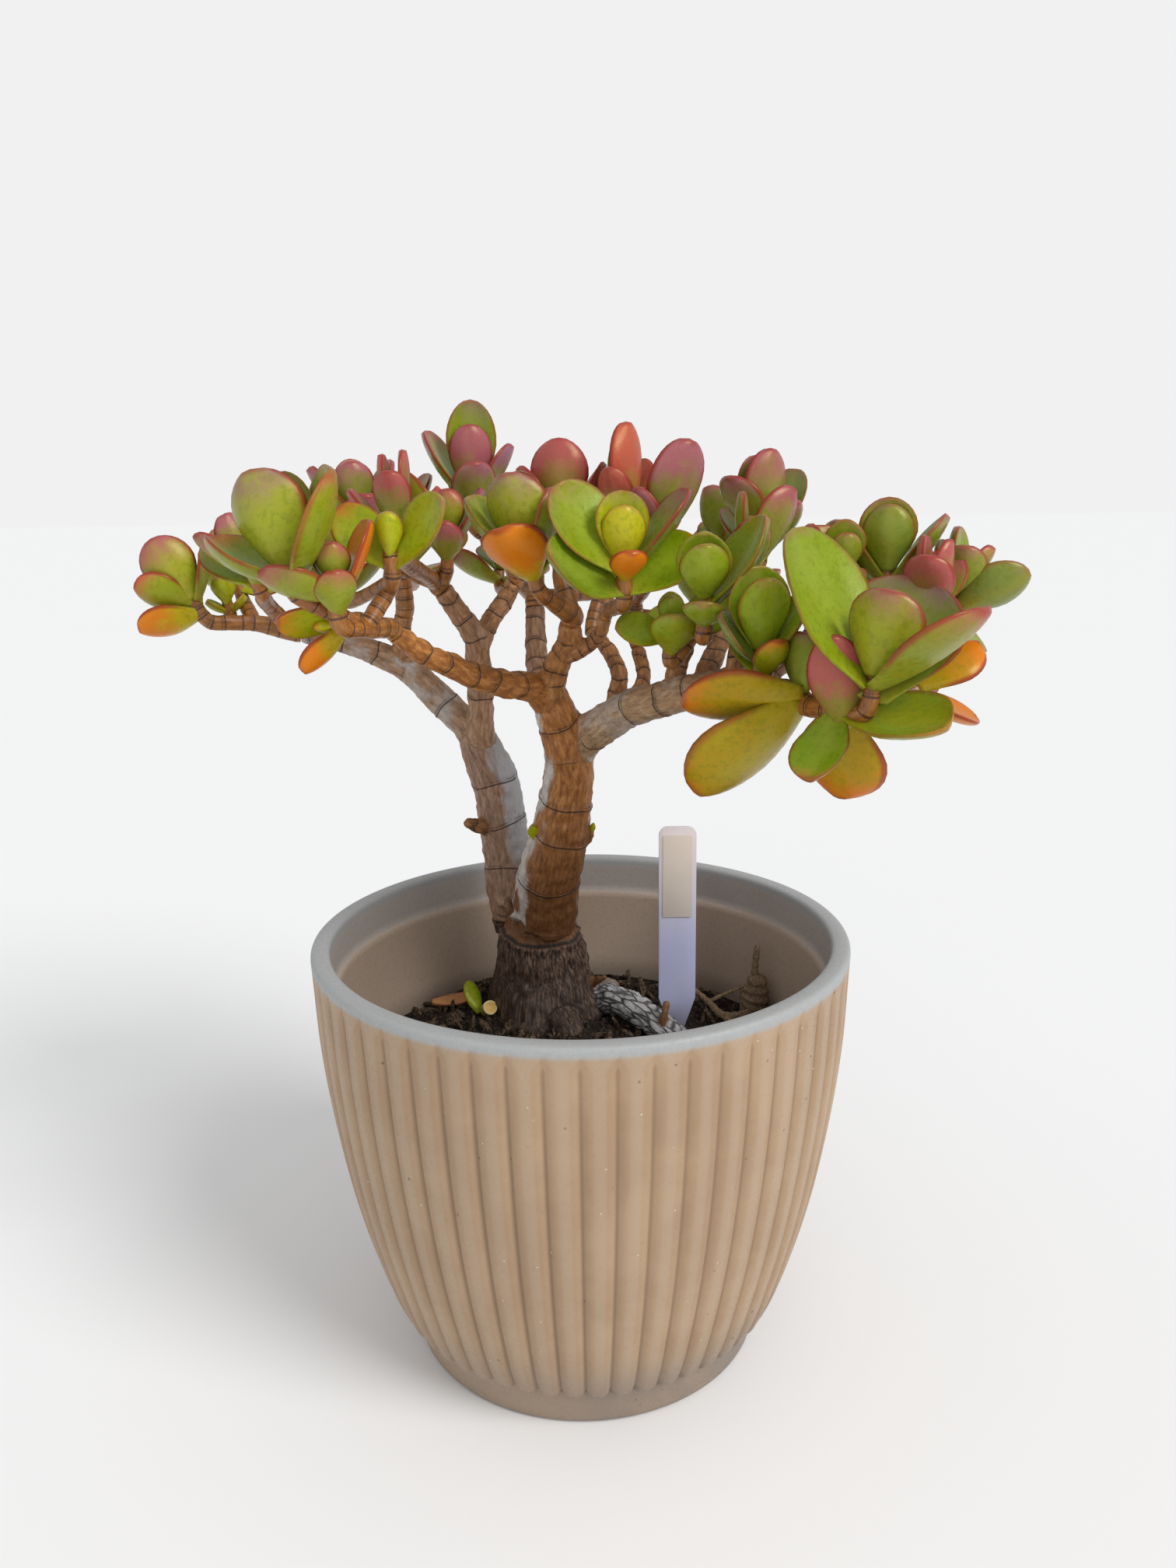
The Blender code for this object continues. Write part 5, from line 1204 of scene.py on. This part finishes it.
def plug(value, socket):
    """Link an input to a wire or a node's output, or set it."""
    value = value.socket if isinstance(value, Wire) else value
    if isinstance(value, bpy.types.NodeSocket):
        socket.id_data.links.new(value, socket)
    else:
        socket.default_value = (*value, 1.0) if socket.type == "RGBA" and len(value) == 3 else value


def add(tree, kind, inputs=None, **settings):
    """A node with its settings, its inputs linked or set."""
    node = tree.nodes.new(kind)
    for key, value in settings.items():
        setattr(node, key, value)
    for key, value in (inputs or {}).items():
        plug(value, node.inputs[key])
    return node


def take(tree, kind, inputs=None, output=0, **settings):
    """One output of a new node."""
    return Wire(add(tree, kind, inputs, **settings).outputs[output])


def tree_round(*values):
    """The node tree in which the first wire lies."""
    return next(value.socket.id_data for value in values if isinstance(value, Wire))


def maths(kind, a, b=0.5):
    return take(tree_round(a, b), "ShaderNodeMath", {0: a, 1: b}, operation=kind)


def fade(value, low, high, to_low=0.0, to_high=1.0):
    """A value brought smoothly from one span to another."""
    spans = {"Value": value, "From Min": low, "From Max": high, "To Min": to_low, "To Max": to_high}
    return take(tree_round(value), "ShaderNodeMapRange", spans, "Result", interpolation_type="SMOOTHSTEP")


def mix(share, a, b):
    return take(tree_round(share), "ShaderNodeMix", {0: share, 6: a, 7: b}, 2, data_type="RGBA")


def coats(base, *layers):
    """Lay colours over a base one after another, each by its share."""
    for share, colour in layers:
        base = mix(share, base, colour)
    return base


def ramp(value, stops):
    node = add(tree_round(value), "ShaderNodeValToRGB", {"Fac": value})
    row = node.color_ramp.elements
    row[0].position, row[1].position = stops[0][0], stops[-1][0]
    for at, _ in stops[1:-1]:
        row.new(at)
    for element, (_, colour) in zip(row, stops):
        element.color = (*colour, 1.0)
    return Wire(node.outputs["Color"])


def known(tree, name, output="Fac"):
    """A value stored on the piece's points."""
    return take(tree, "ShaderNodeAttribute", {}, output, attribute_name=name)


def place_of(tree):
    return take(tree, "ShaderNodeTexCoord", {}, "Object")


def split(where):
    """The three numbers of a place."""
    return map(Wire, add(tree_round(where), "ShaderNodeSeparateXYZ", {"Vector": where}).outputs)


def noise(where, scale, detail=3.0, rough=.55, warp=0.0):
    inputs = {"Vector": where, "Scale": scale, "Detail": detail, "Roughness": rough, "Distortion": warp}
    return take(tree_round(where), "ShaderNodeTexNoise", inputs, "Fac")


def speckle_group():
    """Shared finish: patches, fine grain and small specks, as masks from 0 to 1."""
    tree, given, result = new_group(
        "weathering", "ShaderNodeTree",
        {"Where": "Vector", "Patch size": "Float", "Grain size": "Float", "Speck size": "Float",
         "Speck width": "Float", "Speck share": "Float"},
        {"Patches": "Float", "Grain": "Float", "Specks": "Float"})
    where, patch, grain, speck, wide, share = map(Wire, given[:6])
    dots = add(tree, "ShaderNodeTexVoronoi", {"Vector": where, "Scale": 1.0 / speck})
    chosen = take(tree, "ShaderNodeSeparateColor", {"Color": dots.outputs["Color"]})
    for name, mask in (("Patches", fade(noise(where, 1.0 / patch, 4.0, .6), .35, .65)),
                       ("Grain", noise(where, 1.0 / grain, 3.0, .6)),
                       ("Specks", fade(Wire(dots.outputs["Distance"]), wide, 0.0) * (chosen < share))):
        plug(mask, result[name])
    return tree


def weather(group, where, patch, grain, speck, share, wide=.30):
    """Patches, grain and specks of the shared finish, their sizes in millimetres."""
    node = add(tree_round(where), "ShaderNodeGroup", node_tree=group)
    for key, value in (("Where", where), ("Patch size", patch * MM), ("Grain size", grain * MM),
                       ("Speck size", speck * MM), ("Speck width", wide), ("Speck share", share)):
        plug(value, node.inputs[key])
    return [Wire(node.outputs[name]) for name in ("Patches", "Grain", "Specks")]


def finish(name, roughness, specular, **values):
    """A material and its node tree."""
    mat = bpy.data.materials.new(name)
    mat.use_nodes = True
    shader = mat.node_tree.nodes["Principled BSDF"]
    for key, value in (("Roughness", roughness), ("Specular IOR Level", specular), *values.items()):
        plug(value, shader.inputs[key.replace("_", " ")])
    return mat, mat.node_tree


def paint(mat, colour, roughness=None, relief=None):
    """Give a material its colour, and its roughness and relief (height, strength, depth) if any."""
    shader = mat.node_tree.nodes["Principled BSDF"]
    plug(colour, shader.inputs["Base Color"])
    if roughness:
        plug(roughness, shader.inputs["Roughness"])
    if relief:
        height, strength, depth = relief
        inputs = {"Height": height, "Strength": strength, "Distance": depth * MM}
        plug(take(mat.node_tree, "ShaderNodeBump", inputs, "Normal"), shader.inputs["Normal"])
    return mat


def leaf_finish(group):
    mat, tree = finish("fleshy_leaf", .34, .34, Specular_Tint=(1.0, 1.0, .50))
    u, s, under, tone, blush, warmth, chance, faded = (
        known(tree, name)
        for name in ("along", "across", "under", "tone", "blush", "warmth", "chance", "faded"))
    patches, grain, specks = weather(group, place_of(tree), 11, 2.2, 1.15, .35)
    green = ramp(tone, ((0.0, (.110, .175, .050)), (.35, (.120, .205, .006)), (.6, (.215, .320, .004)),
                        (.8, (.37, .40, .005)), (.87, (.60, .60, .012)), (.94, (.37, .27, .004)),
                        (1.0, (.36, .24, .004))))
    red = ramp(warmth, ((0.0, (.31, .115, .165)), (.35, (.39, .078, .100)), (.7, (.58, .095, .026)),
                        (1.0, (.68, .175, .008))))
    # The red comes down from the tip to an uneven line, and lies in a thin dark edge
    line = u + (grain - .5) * .30 + s ** 3.0 * .10 + fade(patches, 0, 1, -.08, .08)
    tip = fade(line - (1.08 - blush * .95), -.16, .48) * fade(blush, .0, .3, .5, .92)
    edge = maths("MAXIMUM", fade(s, .85, .97) * fade(u, .12, .40), fade(u, .92, .99, 0.0, .8))
    colour = coats(
        green,
        (fade(u, .36, .0, 0.0, .45), (.42, .38, .03)),
        (fade(tone, .75, .2) * (patches * .35), (.17, .25, .075)),
        (fade(patches, 0, 1, .0, .25), (.34, .38, .012)),
        (fade(patches, 1, 0, 0, .55) * chance, (.33, .25, .005)),
        (fade(grain, .55, .30, 0.0, .40), (.11, .165, .004)),
        (fade(s, .55, .0) * .15, (.44, .48, .05)),
        (maths("MINIMUM", tip + under * blush * .30, .95), red),
        (specks * .22, (.60, .58, .25)),
        (edge * fade(blush, .05, .4, .35, .85), (.27, .022, .018)),
        (faded * .85, (.58, .25, .13)))
    return paint(mat, colour, fade(grain, .3, .7, .23, .38), (grain * .7 + patches * .5, .30, .25))


def ring_lines(tree):
    """Thin dark lines where leaf pairs once grew, single or double."""
    share, apart = maths("FRACT", known(tree, "turns")), known(tree, "apart")
    nearest = maths("MINIMUM", share, 1.0 - share) * apart
    second = fade(abs(share * apart - 1.1), .40, .10)
    some = fade(noise(place_of(tree), 60.0, 1.0), .45, .60, 0.0, .6)
    return maths("MAXIMUM", fade(nearest, .55, .12), second * some) * known(tree, "alone")


def bark_marks(tree, group):
    """The grain's own places, its streaks and fine lines, the shared finish and the ring lines."""
    grain = known(tree, "grain", "Vector")
    return (grain, noise(grain, 620.0, 5.0, .65, .3), noise(grain, 1500.0, 4.0, .7),
            weather(group, place_of(tree), 16, 1.6, 2.4, .30), ring_lines(tree))


def stem_finish(group):
    mat, tree = finish("young_stem", .42, .5)
    _, streak, fine, (patches, _, _), ring = bark_marks(tree, group)
    colour = coats(
        ramp(streak, ((.25, (.13, .038, .006)), (.5, (.32, .108, .020)), (.8, (.58, .25, .065)))),
        (patches * .18, (.24, .19, .05)),
        (known(tree, "scar") * .30, (.070, .024, .010)),
        (ring * .85, (.035, .012, .006)))
    return paint(mat, colour, fade(fine, .3, .7, .24, .44), (fine - ring * .9, .4, .35))


def bark_finish(group):
    mat, tree = finish("old_bark", .60, .4)
    grain, streak, fine, (patches, specked, specks), ring = bark_marks(tree, group)
    scar, young, grey, pink, low, fold, cracked = (
        known(tree, name) for name in ("scar", "young", "grey", "pink", "low", "fold", "cracked"))
    brown, orange, rosy, silver = (ramp(streak, stops) for stops in (
        ((.3, (.18, .110, .058)), (.5, (.38, .240, .13)), (.7, (.56, .39, .24))),
        ((.3, (.16, .052, .009)), (.5, (.35, .128, .026)), (.7, (.56, .25, .070))),
        ((.3, (.12, .060, .036)), (.5, (.25, .135, .085)), (.7, (.38, .24, .17))),
        ((.3, (.36, .315, .275)), (.5, (.50, .45, .41)), (.7, (.62, .57, .53)))))
    orange = mix(fade(fold, 85.0, 8.0, .0, .78), orange, (.085, .030, .008))
    silver = mix(pink * .7, silver, (.33, .355, .39))
    # The branches' own bleached grey, together with the painted highlight on the legs' sides
    bleach_and_highlight = grey + (patches - .5) * .55 * fade(grey, .0, .3, .35, 1.0)
    fibre = ramp(noise(grain, 900.0, 5.0, .7, .3),
                 ((.40, (.021, .012, .008)), (.49, (.075, .042, .028)), (.61, (.21, .135, .095))))
    # Painted shade: the trunk's foot grows darker further below the collar
    fibre = mix(fade(fold + patches * 14.0, 4.0, -20.0, .0, .45), fibre, (.018, .011, .008))
    cells = take(tree, "ShaderNodeTexVoronoi", {"Vector": grain, "Scale": 330.0}, "Distance",
                 feature="DISTANCE_TO_EDGE")
    crack = fade(cells, .13, .02) * cracked
    # Painted shade: a near-black line in the fold where the trunk ends
    collar = fade(abs(fold + (specked - .5) * .8), 1.1, .35)
    colour = coats(
        mix(young, brown, orange),
        (pink * .85, rosy),
        (fade(bleach_and_highlight, .10, .80), silver),
        (fade(fine, .42, .30, 0.0, .45), (.060, .032, .018)),
        (low, fibre),
        (crack * .9, (.035, .030, .030)),
        (scar * .28, (.060, .028, .015)),
        (ring * .85, (.022, .011, .007)),
        (collar * .92, (.012, .007, .005)),
        (specks * .18, (.06, .04, .028)))
    height = streak * fade(low, 0.0, 1.0, .55, 1.5) + fine * .35 - ring * .5 - crack
    return paint(mat, colour, fade(fine, .3, .7, .42, .70), (height, .65, 1.0))


def ceramic_finish(group):
    mat, tree = finish("fluted_clay", .5, .4)
    where, groove, inside = place_of(tree), known(tree, "groove"), known(tree, "inside")
    patches, grain, specks = weather(group, where, 34, 1.4, 9.0, .60, .095)
    pale = weather(group, where, 20, .8, 6.0, .40, .075)[2]
    x, _, height = split(where)
    # Painted shade: the clay grows darker towards the foot, more on the right side
    foot_shade = fade(height, .050, .012, 0.0, .75) * fade(x, -.11, .05, .35, 1.0)
    outer = coats(
        ramp(patches, ((0.0, (.355, .232, .138)), (1.0, (.405, .275, .168)))),
        # Painted shade in the flutes' grooves, and a painted highlight on the ribs' crests
        (fade(groove, .35, 1.0, 0.0, .50), (.20, .120, .066)),
        (fade(groove, .12, .0) * .30, (.46, .37, .28)),
        (fade(grain, .58, .78, 0.0, .30), (.26, .18, .12)),
        (foot_shade * fade(patches, 0, 1, .6, 1.0), (.17, .145, .130)),
        (specks * .9, (.05, .035, .025)),
        (pale * .8, (.85, .78, .66)))
    # Painted sky reflection: the lip is a cool grey copy of the one clay colour
    lip = mix(fade(grain, .35, .7, .0, .35), (.37, .38, .38), (.31, .315, .31))
    step = POT_HEIGHT - STEP_DROP
    # Painted light and shade inside the pot: the wall is a greyer copy of the clay, greyest in the band above
    # the step, and darker towards the soil
    wall = coats(
        mix(fade(height, (step - 1) * MM, (step + 1) * MM), (.46, .355, .275), (.42, .375, .345)),
        (fade(grain, .45, .75, 0.0, .35), (.30, .24, .20)),
        (fade(height, (SOIL_EDGE + 12) * MM, (SOIL_EDGE + 1) * MM, 0.0, .5), (.11, .085, .065)))
    colour = coats(outer, (fade(inside, .12, .45), lip), (fade(inside, .6, .9), wall))
    return paint(mat, colour, fade(grain, .3, .7, .42, .62), (grain + specks * .6, .25, .35))


def earth_finish(name, group, light, dark):
    mat, tree = finish(name, .95, .15)
    patches, grain, specks = weather(group, place_of(tree), 9, 1.1, 2.2, .25)
    colour = coats(
        mix(fade(grain, .35, .65), dark, light),
        (patches * .4, tuple(.7 * c for c in dark)),
        (specks * .5, (.16, .115, .075)))
    return paint(mat, colour, relief=(grain, .9, 1.0))


def plastic_finish(name, group, low, high, roughness):
    """Smooth plastic or paper, its colour changing towards the top and darker at the foot."""
    mat, tree = finish(name, roughness, .45)
    where = place_of(tree)
    patches, grain, _ = weather(group, where, 12, .8, 3.0, .08)
    _, _, height = split(where)
    colour = coats(
        mix(fade(height, .150, .212), low, high),
        (patches * .10, (.50, .44, .40)),
        (fade(height, .135, .118, 0.0, .35), (.20, .15, .12)))
    return paint(mat, colour, fade(grain, .3, .7, roughness - .06, roughness + .08))


def cut_finish(group):
    mat, tree = finish("cut_green", .45, .4)
    _, grain, _ = weather(group, place_of(tree), 3, .7, 1.2, .2)
    colour = coats(
        ramp(known(tree, "rim"), ((.1, (.60, .36, .08)), (.45, (.62, .42, .12)), (.9, (.74, .68, .42)),
                                  (1.0, (.36, .34, .10)))),
        (fade(grain, .5, .8, 0.0, .35), (.34, .27, .08)))
    return paint(mat, colour, relief=(grain, .3, .3))


def twig_finish(group):
    mat, tree = finish("dry_twig", .85, .2)
    patches, grain, _ = weather(group, place_of(tree), 8, .9, 1.6, .3)
    colour = coats(
        ramp(grain, ((.3, (.11, .070, .042)), (.55, (.27, .185, .115)), (.75, (.42, .31, .21)))),
        (patches * .4, (.10, .068, .045)))
    return paint(mat, colour, relief=(grain, .8, .6))


# ---- studio

def studio():
    floor_mat, tree = finish("studio_floor", .95, .0)
    paint(floor_mat, mix(noise(place_of(tree), 3.0, 2.0), *FLOOR_COLOURS))
    mesh = bpy.data.meshes.new("studio_floor")
    far, low = FLOOR_REACH, FLOOR_LEVEL
    mesh.from_pydata([(-far, -far, low), (far, -far, low), (far, far, low), (-far, far, low)], [],
                     [(0, 1, 2, 3)])
    mesh.materials.append(floor_mat)
    new_object("studio_floor", mesh)
    world = bpy.data.worlds.new("studio_sky")
    bpy.context.scene.world = world
    world.use_nodes = True
    tree = world.node_tree
    sky = tree.nodes["Background"]
    plug(SKY_COLOUR, sky.inputs["Color"])
    plug(SKY_LIGHT, sky.inputs["Strength"])
    wall = add(tree, "ShaderNodeBackground", {"Color": WALL_COLOUR, "Strength": 1.0})
    seen = take(tree, "ShaderNodeLightPath", {}, "Is Camera Ray")
    both = add(tree, "ShaderNodeMixShader", {0: seen, 1: sky.outputs[0], 2: wall.outputs[0]})
    plug(both.outputs[0], tree.nodes["World Output"].inputs["Surface"])
    for name, kind, place, aim, size, power, colour in LIGHTS:
        lamp = bpy.data.lights.new(name, kind)
        if kind == "SUN":
            lamp.angle = np.radians(size)
        else:
            lamp.size = size
        lamp.energy = power
        lamp.color = colour
        obj = new_object(name, lamp)
        obj.location = place
        obj.rotation_euler = (Vector(aim) - Vector(place)).to_track_quat("-Z", "Y").to_euler()
    lens = bpy.data.cameras.new("photo_camera")
    lens.lens = CAMERA_LENS
    lens.sensor_width = CAMERA_SENSOR
    lens.clip_end = CAMERA_REACH
    camera = new_object("photo_camera", lens)
    camera.matrix_world = (Matrix.Translation(CAMERA_PLACE)
                           @ Matrix.Rotation(np.radians(CAMERA_PITCH), 4, "X")
                           @ Matrix.Rotation(np.radians(CAMERA_ROLL), 4, "Z"))
    bpy.context.scene.camera = camera


def dress():
    group = speckle_group()
    leaf_mat, stem_mat, bark, ceramic = (
        make(group) for make in (leaf_finish, stem_finish, bark_finish, ceramic_finish))
    earth, crumb_mat, chip_mat = (earth_finish(name, group, *colours) for name, *colours in EARTHS)
    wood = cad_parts["trunk_and_branches"].data
    wood_tree = BVHTree.FromPolygons([v.co / MM for v in wood.vertices],
                                     [tuple(f.vertices) for f in wood.polygons])
    make_sprays(wood_tree, leaf_mat, stem_mat)
    fine_wood(bark)
    fine_pot(ceramic)
    ground = fine_soil(earth)
    strew("soil_crumbs", ground, crumb_shape("crumb", (1.2, 1.0, .8), crumb_mat, 1), crumb_mat, CRUMBS)
    strew("bark_chips", ground, crumb_shape("chip", (2.8, .8, .5), chip_mat, 2), chip_mat, CHIPS)
    fine_label(plastic_finish("lilac_plastic", group, (.52, .55, .80), (.95, .86, .86), .38),
               plastic_finish("cream_paper", group, (.66, .58, .53), (.90, .79, .68), .45))
    fine_litter(leaf_mat, cut_finish(group), twig_finish(group))
    studio()


bpy.context.scene.view_settings.view_transform = "Standard"
dress()
